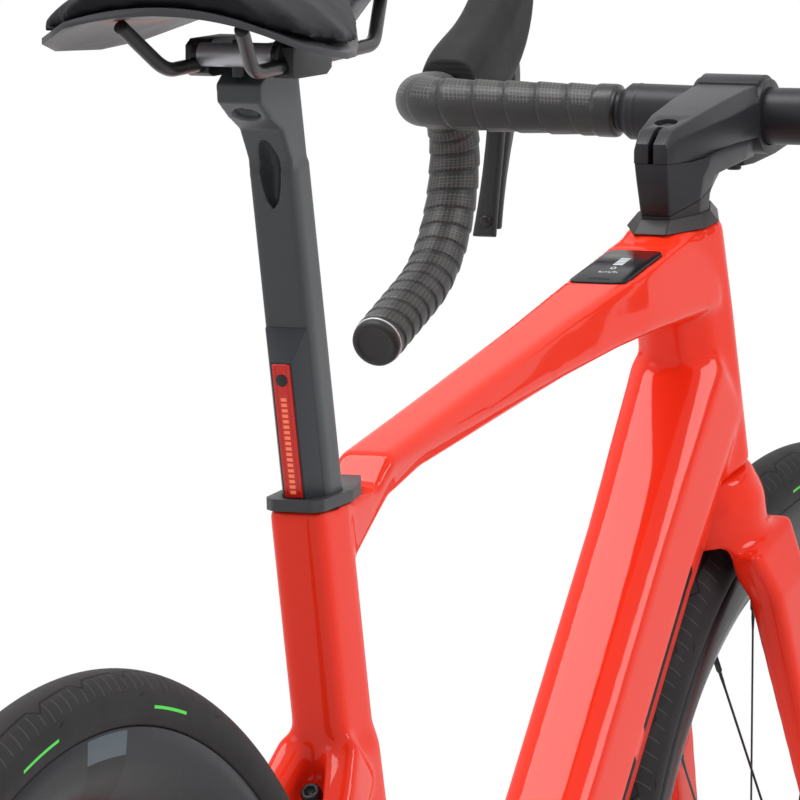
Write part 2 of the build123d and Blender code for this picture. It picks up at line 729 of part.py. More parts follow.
def pitch_radius(teeth):
    return PITCH / (2 * math.sin(math.pi / teeth))


def toothed(teeth, y, thick, bore):
    root = pitch_radius(teeth) - 4.2
    tip = pitch_radius(teeth) + 2.6
    pts = []
    for i in range(teeth):
        for r, a in ((root, 0.30), (tip, 0.46), (tip, 0.54), (root, 0.70)):
            angle = 2 * math.pi * (i + a) / teeth
            pts.append((r * math.cos(angle), r * math.sin(angle)))
    face = make_face(Polyline(*pts, close=True)) - Circle(bore)
    plane = Plane(origin=(0, y - thick / 2, 0), x_dir=(1, 0, 0), z_dir=(0, 1, 0))
    return extrude(plane * face, amount=thick)


def chainring():
    ring = toothed(RING_TEETH, CHAIN_Y, 2.4, 76)
    return Pos(BB_X, 0, BB_Z) * ring


def cassette():
    first = CHAIN_Y - SPROCKET_STEP * DRIVEN
    stack = [toothed(n, first + SPROCKET_STEP * i, 1.8, 17.2) for i, n in enumerate(SPROCKETS)]
    body = extrude(Plane(origin=(0, first - 1, 0), z_dir=(0, 1, 0)) * (Circle(19.5) - Circle(17.2)),
                   amount=SPROCKET_STEP * (len(SPROCKETS) - 1) + 2)
    for cog in stack:
        body += cog
    return body


def crank_arms():
    spindle = extrude(Plane(origin=(BB_X, -70, BB_Z), z_dir=(0, 1, 0)) * Circle(SPINDLE_D / 2), amount=140)
    body = spindle
    for side in (-1, 1):
        rings = []
        for x, y, w, h in ((-16, 64, 14, 30), (30, 66, 13, 26), (CRANK - 12, 69.5, 11, 22),
                           (CRANK + 12, 69.5, 11, 20)):
            place = Vector(BB_X - side * x, side * y, BB_Z)
            rings.append(bar_section(place, Vector(1, 0, 0), w, h, 3.5))
        arm = loft(rings, ruled=True)
        arm -= cylinder_y(BB_X - side * CRANK, BB_Z, 7 + RUN_FIT, *sorted((side * 60, side * 80)))
        body += arm
    spider = toothed_spider()
    return body + spider


def toothed_spider():
    plane = Plane(origin=(BB_X, CHAIN_Y - 1.5, BB_Z), x_dir=(1, 0, 0), z_dir=(0, -1, 0))
    flat = Circle(22)
    for i in range(4):
        flat += Rot(0, 0, 45 + 90 * i) * Pos(46, 0) * Rectangle(66, 16)
    flat = flat & Circle(80)
    return extrude(plane * flat, amount=3.5) + extrude(plane * Circle(20), amount=14)


def pedal(side):
    """A platform pedal with a window on each side of its spindle."""
    x = BB_X - side * CRANK
    pin = cylinder_y(x, BB_Z, 7, *sorted((side * 66, side * 84)))
    body = lofted((
        ((x - 38, side * 108, BB_Z), (1, 0, 0), 44, 10),
        ((x - 10, side * 110, BB_Z), (1, 0, 0), 64, 19),
        ((x + 10, side * 110, BB_Z), (1, 0, 0), 64, 19),
        ((x + 38, side * 108, BB_Z), (1, 0, 0), 44, 10),
    ), 4, ruled=True)
    for ahead in (-20, 20):
        body -= Pos(x + ahead, side * 110, BB_Z) * Box(16, 38, 40)
    pin += cylinder_y(x, BB_Z, 8, *sorted((side * 78, side * 100)))
    return pin + body


GUIDE = Vector(18, 0, WHEEL_R - 93)
LINK_HALF = 4.1
LINK_WAIST = 3.0


def tangent(a, ra, b, rb):
    """Points where a belt leaves circle a and meets circle b; a radius is negative if it turns back."""
    d = Vector(b.X - a.X, 0, b.Z - a.Z)
    side = (ra - rb) / d.length
    ahead = d.normalized()
    across = Vector(-ahead.Z, 0, ahead.X)
    out = ahead * side + across * math.sqrt(1 - side**2)
    return a + out * ra, b + out * rb


def chain_wheels(swing):
    """Centre and pitch radius of each wheel; the cage's swing places the tension pulley."""
    tension = GUIDE + Vector(math.cos(swing), 0, math.sin(swing)) * CAGE
    ring = Vector(BB_X, 0, BB_Z)
    cog = Vector(0, 0, WHEEL_R)
    small = pitch_radius(PULLEY_TEETH)
    return [(cog, pitch_radius(SPROCKETS[DRIVEN])), (ring, pitch_radius(RING_TEETH)),
            (tension, small), (GUIDE, -small)]


def chain_line(swing):
    """The pitch line of the chain round its four wheels."""
    wheels = chain_wheels(swing)
    runs = [tangent(a, ra, b, rb) for (a, ra), (b, rb) in zip(wheels, wheels[1:] + wheels[:1])]
    lines = []
    for i, (leave, meet) in enumerate(runs):
        centre, radius = wheels[(i + 1) % 4]
        after = runs[(i + 1) % 4][0]
        lines.append(Line(tuple(leave), tuple(meet)))
        u = (meet - centre).normalized()
        v = (after - centre).normalized()
        middle = (u + v).normalized()
        if u.cross(v).Y * radius < 0:
            middle = middle * -1
        lines.append(ThreePointArc(tuple(meet), tuple(centre + middle * abs(radius)), tuple(after)))
    return Wire(lines)


def cage_swing():
    """The cage's swing at which the chain is a whole number of pairs of links."""
    low, high = math.radians(-80), math.radians(-52)
    pairs = round(chain_line((low + high) / 2).length / PITCH / 2)
    for _ in range(24):
        middle = (low + high) / 2
        if chain_line(middle).length > 2 * pairs * PITCH:
            low = middle
        else:
            high = middle
    return low


def chain():
    """Its two rows of link plates, waisted between the pins, as one band on each side."""
    line = chain_line(CAGE_SWING)
    links = round(line.length / PITCH)
    sides = ([], [])
    for i in range(links):
        for along, half in ((-0.19, LINK_HALF), (0.19, LINK_HALF), (0.5, LINK_WAIST)):
            t = (i + along) / links % 1.0
            point, ahead = line @ t, line % t
            across = Vector(-ahead.Z, 0, ahead.X) * half
            sides[0].append(point + across)
            sides[1].append(point - across)
    faces = sorted((make_face(Polyline(*side, close=True)) for side in sides), key=lambda face: face.area)
    band = faces[1] - faces[0]
    left = Pos(0, CHAIN_Y + 1.7, 0) * extrude(band, amount=1.0, dir=(0, 1, 0))
    right = Pos(0, CHAIN_Y - 2.7, 0) * extrude(band, amount=1.0, dir=(0, 1, 0))
    return Compound(children=[left, right])


CAGE_SWING = cage_swing()


def jockey_wheels():
    out = []
    for place, _ in chain_wheels(CAGE_SWING)[2:]:
        out.append(Pos(place.X, 0, place.Z) * toothed(PULLEY_TEETH, CHAIN_Y, 2.2, 4.0))
    return Compound(children=out)


def cage_plate(tension, low, high):
    """One side of the pulley cage: an eye round each pulley's bolt, and a waisted web with a window."""
    ahead = (tension - GUIDE).normalized()
    across = Vector(-ahead.Z, 0, ahead.X)
    plate = cylinder_y(GUIDE.X, GUIDE.Z, 13, low, high) + cylinder_y(tension.X, tension.Z, 11, low, high)
    web, window = [], []
    for along, half, hole in ((0, 12, 0), (24, 8, 4), (CAGE - 24, 7, 3.5), (CAGE, 10, 0)):
        web.append((GUIDE + ahead * along, half))
        if hole:
            window.append((GUIDE + ahead * along, hole))
    plate += side_plate(banded(web, across), low, high)
    return plate - side_plate(banded(window, across), low, high)


def banded(stations, across):
    """An outline in side view from points along a line and the half widths there."""
    left = [(p + across * half) for p, half in stations]
    right = [(p - across * half) for p, half in reversed(stations)]
    return [(p.X, p.Z) for p in left + right]


def rear_derailleur():
    tension = chain_wheels(CAGE_SWING)[2][0]
    inner, outer = CHAIN_Y + 4.0, CHAIN_Y - 6.0
    body = cage_plate(tension, inner, inner + 2.0) + cage_plate(tension, outer, outer + 2.0)
    for p in (GUIDE, tension):
        body += cylinder_y(p.X, p.Z, 4.0 - RUN_FIT, outer - 1, inner + 3)
    hanger = side_plate([(-10, 336), (8, 336), (4, 306), (-14, 306)], -80, -73)
    knuckle = cylinder_y(-5, 314, 11, -84, -69)
    # the two arms of the parallelogram between the knuckle and the cage's pivot
    for offset, wide in ((-7, 6), (5, 7)):
        body += lofted((
            ((-4 + offset, -76, 312), (0.3, 0.4, -1), 14, wide),
            ((14 + offset, -57, 258), (0.3, 0.4, -1), 12, wide),
        ), 2)
    pivot = cylinder_y(GUIDE.X - 2, GUIDE.Z + 4, 13, -64, outer + 0.5)
    cap = cylinder_y(-5, 314, 6, -86.5, -84)
    return body + pivot + knuckle + cap + hanger - cylinder_y(0, WHEEL_R, 17.3, -90, -70)


def caliper(place, centre, disc_y, inner, outer):
    """A flat-mount brake caliper, inner to outer across the bike, slotted for the disc and its pads."""
    middle = (inner + outer) / 2 - disc_y
    block = chamfer((Pos(0, middle, 0) * Box(54, outer - inner, 30)).edges().filter_by(Axis.X), 4)
    # the piston's cap on each side and the finned gap over the pads
    for side in (inner, outer):
        block += Pos(0, side - disc_y, 0) * Rot(90, 0, 0) * Cylinder(10, 2.4)
    for x in (-9, -3, 3, 9):
        block -= Pos(x, middle, 16) * Box(2.4, outer - inner, 8)
    return place * block - cylinder_y(centre.X, centre.Z, ROTOR_R + 4, disc_y - 3, disc_y + 3)


def hose(*points):
    """A brake hose from a caliper to where it enters the frame or fork."""
    line = Spline(*points)
    return sweep(Plane(origin=line @ 0, z_dir=line % 0) * Circle(HOSE_R), path=line)


def rear_caliper(disc_y):
    place = Plane(origin=(82, disc_y, 359), x_dir=(0.985, 0, -0.17), z_dir=(0.17, 0, 0.985))
    body = caliper(place, Vector(0, 0, WHEEL_R), disc_y, 42, 71.5)
    for x in (-17, 17):
        body += place * Pos(x, 9, -16) * Box(12, 10, 16)
    body += hose(Vector(108, 58, 352), Vector(124, 60, 347), Vector(142, 61, 326))
    return largest(body - chainstay() - seatstay())


def front_caliper(disc_y):
    place = Plane(origin=steer(66, 4.5, disc_y), x_dir=UP, z_dir=AHEAD * -1)
    body = caliper(place, Vector(FRONT_X, 0, WHEEL_R), disc_y, 24, 50)
    body += hose(steer(92, 2, 38), steer(112, 4, 39), steer(140, 18, 43))
    return largest(body - fork())


def axle(x, half, grip):
    """A thru axle: plain bar with a hex-socket head outside the right dropout."""
    bar = cylinder_y(x, WHEEL_R, AXLE_D / 2, -half - 10, half + 10)
    return bar + cylinder_y(x, WHEEL_R, 8.5, half + 10 + SEAT_FIT, half + 10 + SEAT_FIT + grip)


def battery_block(grow=0.0, longer=0.0):
    low, high = BATTERY_SPAN
    section = RectangleRounded(BATTERY_WIDE + grow, BATTERY_DEEP + grow, 4)
    ends = [DT_LOW + (DT_HIGH - DT_LOW) * s for s in (low - longer, high + longer)]
    return loft([square(end, DT_DIR) * section for end in ends])


def display_block(low, high, grow=0.0):
    """A slab with rounded corners, from low to high over the top tube's upper face."""
    centre = Vector(DISPLAY_X, 0, top_height(DISPLAY_X)) + TOP_UP * low
    plane = Plane(origin=centre, x_dir=TOP_DIR, z_dir=TOP_UP)
    return extrude(plane * RectangleRounded(DISPLAY_LONG + grow, DISPLAY_WIDE + grow, 6), amount=high - low)


def rooms_in_frame():
    """Everything that the frame leaves room for inside itself."""
    return (
        extrude(post_section(POST_LOW - 10, RUN_FIT), amount=300),
        extrude(light_section(LIGHT_LOW - 5, SEAT_FIT), amount=60),
        battery_block(0.4, 0.001),
        display_block(-DISPLAY_DEEP, 10, SEAT_FIT),
        cylinder_y(BB_X, BB_Z, MOTOR_R, -MOTOR_HALF, MOTOR_HALF),
        cylinder_y(BB_X, BB_Z, SPINDLE_D / 2 + 1, -60, 60),
        steerer_bar(CROWN_T - 20, STEERER_R + SEAT_FIT, CROWN_T + 280),
        *cover_slits(),
    )


def cover_slits():
    """Narrow slits each side of the battery's cover, low on the down tube's sides."""
    slits = []
    for low, high in COVER_SLITS:
        middle = DT_LOW + (DT_HIGH - DT_LOW) * ((low + high) / 2)
        place = Plane(origin=middle, x_dir=DT_DIR, z_dir=(0, 1, 0))
        long = (DT_HIGH - DT_LOW).length * (high - low)
        slit = place * Pos(0, SLIT_DROP, 0) * Box(long, 1.6, 80)
        slits.append(slit - place * Box(900, 200, 2 * SLIT_FLOOR))
    return slits


def drive_motor():
    motor = cylinder_y(BB_X, BB_Z, MOTOR_R - 1, -MOTOR_HALF + 1, MOTOR_HALF - 1)
    return motor - cylinder_y(BB_X, BB_Z, SPINDLE_D / 2 + RUN_FIT, -60, 60)


def write(shape, node):
    """Moves a piece to the rider's frame and writes it."""
    if isinstance(shape, (list, ShapeList)):
        shape = Compound(children=list(shape))
    export_step(Pos(-RIDER.X, -RIDER.Y, -RIDER.Z) * shape, f"parts/{node}.step")


def place_wheel(shape, x):
    return Pos(x, 0, WHEEL_R) * shape


def main():
    os.makedirs("parts", exist_ok=True)
    shell, regions = frame_parts()
    for room in rooms_in_frame():
        shell -= room
    for node, outline in regions.items():
        piece = shell & region(outline)
        write([s for s in piece.solids() if s.volume > 500], node)
    light, lens = tail_light()
    write(drive_motor(), "drive_motor")
    write(battery_block(), "battery")
    write(display_block(SEAT_FIT - DISPLAY_DEEP, 0, -SEAT_FIT), "display")
    write(headset_cover(), "headset_cover")
    write(seat_collar(), "seat_collar")
    write(seatpost(), "seatpost")
    write(light, "tail_light_housing")
    write(lens, "tail_light_lens")
    write(saddle_clamp(), "saddle_clamp")
    write(saddle_rails(), "saddle_rails")
    write(saddle_shell(), "saddle_shell")
    write(saddle_pad(), "saddle_pad")
    write(axle(0, REAR_HUB / 2, 3), "rear_axle")
    write(rear_derailleur(), "rear_derailleur")
    write(jockey_wheels(), "jockey_wheels")
    write(chain(), "chain")
    rear_y = REAR_HUB / 2 - ROTOR_INSET
    front_y = FRONT_HUB / 2 - ROTOR_INSET
    write(rear_caliper(rear_y), "rear_brake_caliper")

    write(fork(), "fork")
    write(stem_spacer(), "stem_spacer")
    write(stem(), "stem")
    write(handlebar(), "handlebar")
    write(bar_tape(), "bar_tape")
    write(bar_plugs(), "bar_plugs")
    write(brake_hoods(), "brake_hoods")
    write(brake_levers(), "brake_levers")
    write(shift_paddles(), "shift_paddles")
    write(computer_mount(), "computer_mount")
    write(axle(FRONT_X, FRONT_HUB / 2, 3), "front_axle")
    write(front_caliper(front_y), "front_brake_caliper")

    for end, x, width, left, right, disc in (
        ("front", FRONT_X, FRONT_HUB, 21, 34, front_y),
        ("rear", 0, REAR_HUB, 37, 20, rear_y),
    ):
        write(place_wheel(tyre(), x), f"{end}_tyre")
        write(place_wheel(rim(), x), f"{end}_rim")
        write(place_wheel(hub(width, left, right, 22, 12, disc), x), f"{end}_hub")
        write(place_wheel(spokes(left, right, 22), x), f"{end}_spokes")
        write(place_wheel(rotor(disc), x), f"{end}_rotor")
    write(place_wheel(cassette(), 0), "cassette")
    write(crank_arms(), "crank_arms")
    write(chainring(), "chainring")
    write(pedal(1), "left_pedal")
    write(pedal(-1), "right_pedal")


if __name__ == "__main__":
    main()
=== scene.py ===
import json
import math

import bmesh
import bpy
import numpy as np
from mathutils import Matrix, Vector


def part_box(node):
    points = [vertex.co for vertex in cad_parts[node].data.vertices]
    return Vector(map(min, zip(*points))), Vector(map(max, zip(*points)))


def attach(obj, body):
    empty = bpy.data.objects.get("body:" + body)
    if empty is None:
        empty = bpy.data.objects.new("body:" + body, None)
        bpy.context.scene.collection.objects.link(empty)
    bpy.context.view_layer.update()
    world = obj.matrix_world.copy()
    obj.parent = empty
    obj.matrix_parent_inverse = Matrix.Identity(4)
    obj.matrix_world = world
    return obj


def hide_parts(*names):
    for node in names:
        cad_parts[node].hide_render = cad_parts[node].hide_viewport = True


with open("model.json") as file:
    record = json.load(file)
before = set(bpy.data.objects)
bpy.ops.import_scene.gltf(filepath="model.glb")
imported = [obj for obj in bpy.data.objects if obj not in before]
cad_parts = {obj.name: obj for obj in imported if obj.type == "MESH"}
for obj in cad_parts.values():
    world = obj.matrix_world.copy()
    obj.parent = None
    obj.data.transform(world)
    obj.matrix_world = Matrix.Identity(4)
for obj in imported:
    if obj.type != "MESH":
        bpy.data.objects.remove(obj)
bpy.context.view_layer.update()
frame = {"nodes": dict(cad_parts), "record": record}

# ---- Frame shell. Carbon fibre tubes moulded as one piece and painted gloss red-orange. The tubes are
# joined, and every inner corner is filled with a soft radius, as where the real lay-up turns a corner.

joints = {j["name"]: Vector(j["pos_m"]) for j in frame["record"]["behaviour"]["joints"]}
REAR_AXLE, FRONT_AXLE = (np.array(joints[end + "_wheel_spin"]) for end in ("rear", "front"))
WHEEL_R = 0.343
GROUND = REAR_AXLE - np.array([0, 0, WHEEL_R])
SKIN_NODES = ("head_tube", "top_tube", "down_tube", "seat_tube", "motor_shell", "chainstays", "seatstays")
SKIN_CELL = 0.0014
SKIN_FILL = 0.005
SKIN_SMOOTHING = 30
SKIN_FACES = 176000
CAD_WELD = 0.00002


def at(x, y, z):
    """A place given in millimetres from the ground under the rear axle, in metres of the shared frame."""
    return GROUND + np.array([x, y, z], float) / 1000


def beside(origin, aim, along, off, y=0.0):
    """A place in side view: from an origin so far along a direction, and so far off at a quarter turn."""
    return at(origin[0] + along * aim[0] - off * aim[1], y, origin[1] + along * aim[1] + off * aim[0])


def placed(name, data):
    """A new object of the scene that holds a mesh, curve, light or camera."""
    piece = bpy.data.objects.new(name, data)
    bpy.context.scene.collection.objects.link(piece)
    return piece


def coat(mesh, finish):
    """Gives a mesh its one material."""
    mesh.materials.clear()
    mesh.materials.append(finish)


def add(name, mesh, body, slot, finish, *replaced):
    """Puts a finished mesh in the scene, riding on a body, with its material and the nodes it stands for."""
    piece = placed(name, mesh)
    mesh.name = name
    coat(mesh, finish)
    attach(piece, body)
    if replaced:
        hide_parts(*replaced)
    return piece


def written(build, mesh):
    """The mesh with a bmesh written into it; the bmesh goes."""
    build.to_mesh(mesh)
    build.free()
    return mesh


def built(meshes, weld=0.0):
    """Several meshes in one bmesh, with corners within weld of each other joined."""
    build = bmesh.new()
    for mesh in meshes:
        build.from_mesh(mesh)
    if weld:
        bmesh.ops.remove_doubles(build, verts=build.verts, dist=weld)
    return build


def merged(nodes, flat=0.0, extra=None):
    """The CAD meshes of some nodes as one mesh whose corners are shared. flat joins faces that lie within
    so many degrees of one plane, and extra is a mesh that comes with them."""
    build = built([frame["nodes"][node].data for node in nodes], CAD_WELD)
    if flat:
        bmesh.ops.dissolve_limit(build, angle_limit=math.radians(flat), verts=build.verts, edges=build.edges)
    if extra:
        build.from_mesh(extra)
    return written(build, bpy.data.meshes.new("merged"))


def evaluated(holder):
    """An object's mesh with its modifiers carried out; the object goes."""
    bpy.context.view_layer.update()
    result = bpy.data.meshes.new_from_object(holder.evaluated_get(bpy.context.evaluated_depsgraph_get()))
    bpy.data.objects.remove(holder)
    return result


def settled(mesh, *modifiers):
    """The mesh after some modifiers, each a type and its settings."""
    holder = placed("holder", mesh)
    for kind, settings in modifiers:
        modifier = holder.modifiers.new(kind.lower(), kind)
        for key, value in settings.items():
            setattr(modifier, key, value)
    return evaluated(holder)


def places(mesh, attribute="co"):
    """The places or normals of a mesh's vertices, one number after another."""
    numbers = np.empty(len(mesh.vertices) * 3, np.float32)
    mesh.vertices.foreach_get(attribute, numbers)
    return numbers


def push(mesh, distance):
    """Moves every vertex along its own normal: place + normal times distance."""
    mesh.vertices.foreach_set("co", places(mesh) + places(mesh, "normal") * distance)
    mesh.update()


def moulded(nodes, cell, fill, soften, faces, extra=None):
    """One closed skin round some nodes. It is rebuilt in cells, swollen by fill and rebuilt, so that
    inner corners close over, and drawn back by fill, which leaves them with that radius."""
    rebuild = ("REMESH", {"mode": "VOXEL", "voxel_size": cell})
    mesh = settled(merged(nodes, extra=extra), rebuild)
    for distance in (fill, -fill) if fill else ():
        push(mesh, distance)
        mesh = settled(mesh, rebuild)
    mesh = settled(mesh, ("SMOOTH", {"factor": 0.5, "iterations": soften}))
    mesh = settled(mesh, ("DECIMATE", {"ratio": faces / (2 * len(mesh.polygons))}))
    mesh.shade_smooth()
    return mesh


def worked(operation, swapped=False):
    """A method that puts a Math node between a signal and another value; swapped, the other comes first."""
    def method(self, other=0.0):
        first, second = (other, self) if swapped else (self, other)
        return self.tree.node("ShaderNodeMath", {"operation": operation}, {0: first, 1: second})
    return method


class Signal:
    """A shader output that adds, multiplies and compares as a number does. a.angle_with(b) is the angle
    whose cosine goes with a and whose sine goes with b."""

    def __init__(self, tree, socket):
        self.tree = tree
        self.socket = socket

    __add__ = __radd__ = worked("ADD")
    __sub__ = worked("SUBTRACT")
    __rsub__ = worked("SUBTRACT", True)
    __mul__ = __rmul__ = worked("MULTIPLY")
    __truediv__ = worked("DIVIDE")
    __mod__ = worked("FLOORED_MODULO")
    __pow__ = worked("POWER")
    __lt__ = worked("LESS_THAN")
    __gt__ = worked("GREATER_THAN")
    __abs__ = worked("ABSOLUTE")
    at_most = worked("MINIMUM")
    at_least = worked("MAXIMUM")
    angle_with = worked("ARCTAN2", True)


class Tree:
    """A node tree: node() adds any node, and feed() fills a socket with a value or a signal."""

    def __init__(self, tree):
        self.nodes = tree.nodes
        self.links = tree.links

    def node(self, kind, settings=None, sockets=None, output=0):
        """Adds a node: its settings first, then the values or signals of its sockets."""
        node = self.nodes.new(kind)
        for key, value in (settings or {}).items():
            setattr(node, key, value)
        for key, value in (sockets or {}).items():
            self.feed(node.inputs[key], value)
        return Signal(self, node.outputs[output])

    def feed(self, socket, value):
        if isinstance(value, Signal):
            self.links.new(value.socket, socket)
        else:
            socket.default_value = value

    def split(self, vector):
        """The three parts of a vector."""
        node = self.node("ShaderNodeSeparateXYZ", {}, {0: vector}).socket.node
        return [Signal(self, socket) for socket in node.outputs]


class Finish(Tree):
    """A material while it is made up: shade() feeds the surface shader."""

    def __init__(self, name, colour, roughness, **constants):
        self.material = bpy.data.materials.new(name)
        self.material.use_nodes = True
        super().__init__(self.material.node_tree)
        self.shader = self.nodes["Principled BSDF"]
        self.colour = colour
        self.shade({"Base Color": (*colour, 1.0), "Roughness": roughness})
        self.shade({key.replace("_", " ").title().replace("Ior", "IOR"): v for key, v in constants.items()})
        self.place = self.node("ShaderNodeTexCoord", output="Object")

    def shade(self, sockets):
        for key, value in sockets.items():
            self.feed(self.shader.inputs[key], value)

    def axes(self):
        """The three coordinates in millimetres from the ground under the rear axle."""
        return [(part - float(start)) * 1000.0 for part, start in zip(self.split(self.place), GROUND)]

    def charted(self):
        """The two values of the surface's map."""
        return self.split(self.node("ShaderNodeUVMap", {"uv_map": "UVMap"}))[:2]

    def mixed(self, amount, first, second):
        """One colour or the other, by a signal from 0 to 1."""
        first, second = [c if isinstance(c, Signal) else (*c, 1.0) for c in (first, second)]
        return self.node("ShaderNodeMix", {"data_type": "RGBA"}, {0: amount, 6: first, 7: second}, 2)

    def speckle(self, scale, detail):
        """Noise from 0 to 1, so many spots to the metre."""
        sockets = {"Vector": self.place, "Scale": scale, "Detail": detail}
        return self.node("ShaderNodeTexNoise", {}, sockets, "Fac")

    def painted(self, amount, first, second):
        """Base colour: the first, or the second where the amount is 1."""
        self.shade({"Base Color": self.mixed(amount, first, second)})

    def tinted(self, other, spots, detail, share=1.0):
        """The finish's own colour with spots of another one, mixed in by a share."""
        self.painted(self.speckle(spots, detail) * share, self.colour, other)

    def varied(self, low, high, spots, detail):
        """Roughness that goes between low and high in spots."""
        self.shade({"Roughness": self.speckle(spots, detail) * (high - low) + low})

    def raised(self, height, distance):
        """Bump from a height signal, so many metres at 1."""
        self.shade({"Normal": self.node("ShaderNodeBump", {}, {"Height": height, "Distance": distance})})

    def textured(self, gloss, tint, grain):
        """Plain wear: gloss and tint as varied() and tinted() take them, and grain as spots, their detail
        and their height in metres."""
        self.varied(*gloss)
        self.tinted(*tint)
        self.raised(self.speckle(*grain[:2]), grain[2])
        return self.material


FRAME_RED = (0.82, 0.027, 0.009)
CLEAR_COAT = 0.4
TUBE_FOOT = (394.2, 268.0)
TUBE_AIM = (0.6862, 0.7274)
COVER_SLITS = ((228.636, 50.808), (349.305, 50.808), (473.1495, 53.9835))
COVER_ENDS = (152.424, 549.3615)
SLIT_BELOW, SLIT_HALF, TUBE_FLANK = 11.0, 3.5, 15.0


def frame_paint(name, slit):
    """Solid red-orange under clear coat, with a sprayed surface's faint orange peel. The slits beside the
    battery's cover are painted shade: near-black, without clear coat, where their openings would be. The
    joints at its ends are dark lines in it: along is the distance up the down tube's middle line, and
    below the distance under that line."""
    paint = Finish(name, FRAME_RED, 0.34, coat_weight=CLEAR_COAT, coat_roughness=0.04, specular_ior_level=0.02)
    red = paint.mixed(paint.speckle(9, 3) * 0.8, FRAME_RED, (0.85, 0.034, 0.011))
    height = paint.speckle(260, 1) * 0.1
    if slit:
        x, y, z = paint.axes()
        along = (x - TUBE_FOOT[0]) * TUBE_AIM[0] + (z - TUBE_FOOT[1]) * TUBE_AIM[1]
        below = (x - TUBE_FOOT[0]) * TUBE_AIM[1] - (z - TUBE_FOOT[1]) * TUBE_AIM[0]
        gaps = 0.0
        for middle, half in COVER_SLITS:
            gaps = (abs(along - middle) < half) + gaps
        gaps = gaps * (abs(below - SLIT_BELOW) < SLIT_HALF) * (abs(y) > TUBE_FLANK)
        for end in COVER_ENDS:
            gaps = gaps + (abs(along - end) < 0.35) * (below > 20.0)
        gaps = gaps.at_most(1.0)
        # Painted shade in the slits: near-black, with the clear coat taken off below. The joints at the cover's
        # ends are dark joint lines.
        red = paint.mixed(gaps, red, (0.004, 0.003, 0.003))
        height = height - gaps
        paint.shade({"Coat Weight": CLEAR_COAT - gaps * CLEAR_COAT})
    paint.shade({"Base Color": red})
    paint.varied(0.30, 0.38, 40, 3)
    paint.raised(height, 0.0003)
    return paint.material


skin = moulded(SKIN_NODES, SKIN_CELL, SKIN_FILL, SKIN_SMOOTHING, SKIN_FACES)
add("frame_shell", skin, "frame", "frame_paint", frame_paint("frame_paint", True), *SKIN_NODES)

# ---- Motor and battery. The motor is a cast alloy drum inside the bottom bracket shell, and the battery a
# shrink-wrapped block that slides into the down tube. Both are hidden and keep their plain shapes.


def cast_alloy(name, colour, grain=700):
    """Cast metal under satin paint: fine pits and a slow change of gloss."""
    cast = Finish(name, colour, 0.45, metallic=0.6)
    return cast.textured((0.38, 0.55, 60, 3), ([c * 1.5 for c in colour], 35, 3, 0.6), (grain, 2, 0.00006))


coat(frame["nodes"]["drive_motor"].data, cast_alloy("motor_casing", (0.045, 0.045, 0.05)))
wrap = Finish("battery_wrap", (0.012, 0.013, 0.016), 0.42)
wrap.textured((0.3, 0.5, 90, 4), ((0.03, 0.032, 0.04), 25, 3), (150, 3, 0.0002))
coat(frame["nodes"]["battery"].data, wrap.material)

# ---- Display. A black glass slab set flush into the top tube over a small lit panel, with five bars of
# charge, a speed and its unit printed behind the glass, and a charging slot at the rear edge.

DISPLAY_AT = (708.0, 813.7)
DISPLAY_AIM = (math.cos(math.radians(10)), math.sin(math.radians(10)))
ONE_PLANE = 1.5


def machined(name, node, edge, body, slot, finish, turn=34, segments=2):
    """Puts in a rigid node's shape with its flat faces joined and every edge sharper than turn degrees
    broken by a small round of the given width."""
    limit = math.radians(turn)
    mesh = settled(merged([node], ONE_PLANE), (
        "BEVEL", {"width": edge, "segments": segments, "limit_method": "ANGLE", "angle_limit": limit}))
    mesh.shade_smooth()
    mesh.set_sharp_from_angle(angle=limit)
    return add(name, mesh, body, slot, finish, node)


def pairs(first, second):
    """A grid of every value of one row with every value of another."""
    return np.stack(np.meshgrid(first, second, indexing="ij"), -1)


def facing_out(mesh, weld=0.0):
    """The mesh with its faces turned outwards, and corners within weld of each other joined."""
    build = built([mesh], weld)
    bmesh.ops.recalc_face_normals(build, faces=build.faces)
    return written(build, mesh)


def surface(grid, wraps=(False, False), chart=None):
    """A mesh over a grid of points, one square to each four of them; a direction that wraps is closed.
    The chart holds the map's place of each point."""
    rows, columns = grid.shape[:2]
    high, wide = rows - (not wraps[0]), columns - (not wraps[1])
    if chart is None:
        chart = pairs(np.linspace(0, 1, high + 1), np.linspace(0, 1, wide + 1))
    i, j = pairs(np.arange(high), np.arange(wide)).reshape(-1, 2).T[..., None]
    i, j = i + np.array([0, 1, 1, 0]), j + np.array([0, 0, 1, 1])
    corners = (i % rows) * columns + j % columns
    mesh = bpy.data.meshes.new("surface")
    mesh.from_pydata(grid.reshape(-1, 3).tolist(), [], corners.tolist())
    mesh.uv_layers.new(name="UVMap").data.foreach_set("uv", chart[i, j].astype(np.float32).ravel())
    facing_out(mesh, 1e-6)
    mesh.shade_smooth()
    return mesh


def joined(meshes, weld=0.0):
    """Several meshes as one, with corners within weld of each other joined."""
    mesh = written(built(meshes, weld), bpy.data.meshes.new("joined"))
    mesh.shade_smooth()
    return mesh


def patch_on_display(reach, half, proud):
    """A small rectangle on the display's face."""
    return surface(np.array([[beside(DISPLAY_AT, DISPLAY_AIM, forward, proud, side) for side in (-half, half)]
                             for forward in reach]))


def printed(name, words, size, forward, finish):
    """A figure or unit behind the glass, read from the saddle, as a flat mesh laid on the display."""
    curve = bpy.data.curves.new(name, "FONT")
    curve.body = words
    curve.size = size
    curve.align_x = curve.align_y = "CENTER"
    mesh = evaluated(placed(name, curve))
    ahead, up = DISPLAY_AIM
    turned = Matrix(((0, ahead, -up), (-1, 0, 0), (0, up, ahead))).to_4x4()
    mesh.transform(Matrix.Translation(beside(DISPLAY_AT, DISPLAY_AIM, forward, 0.12)) @ turned)
    add(name, mesh, "frame", "display_glass", finish)


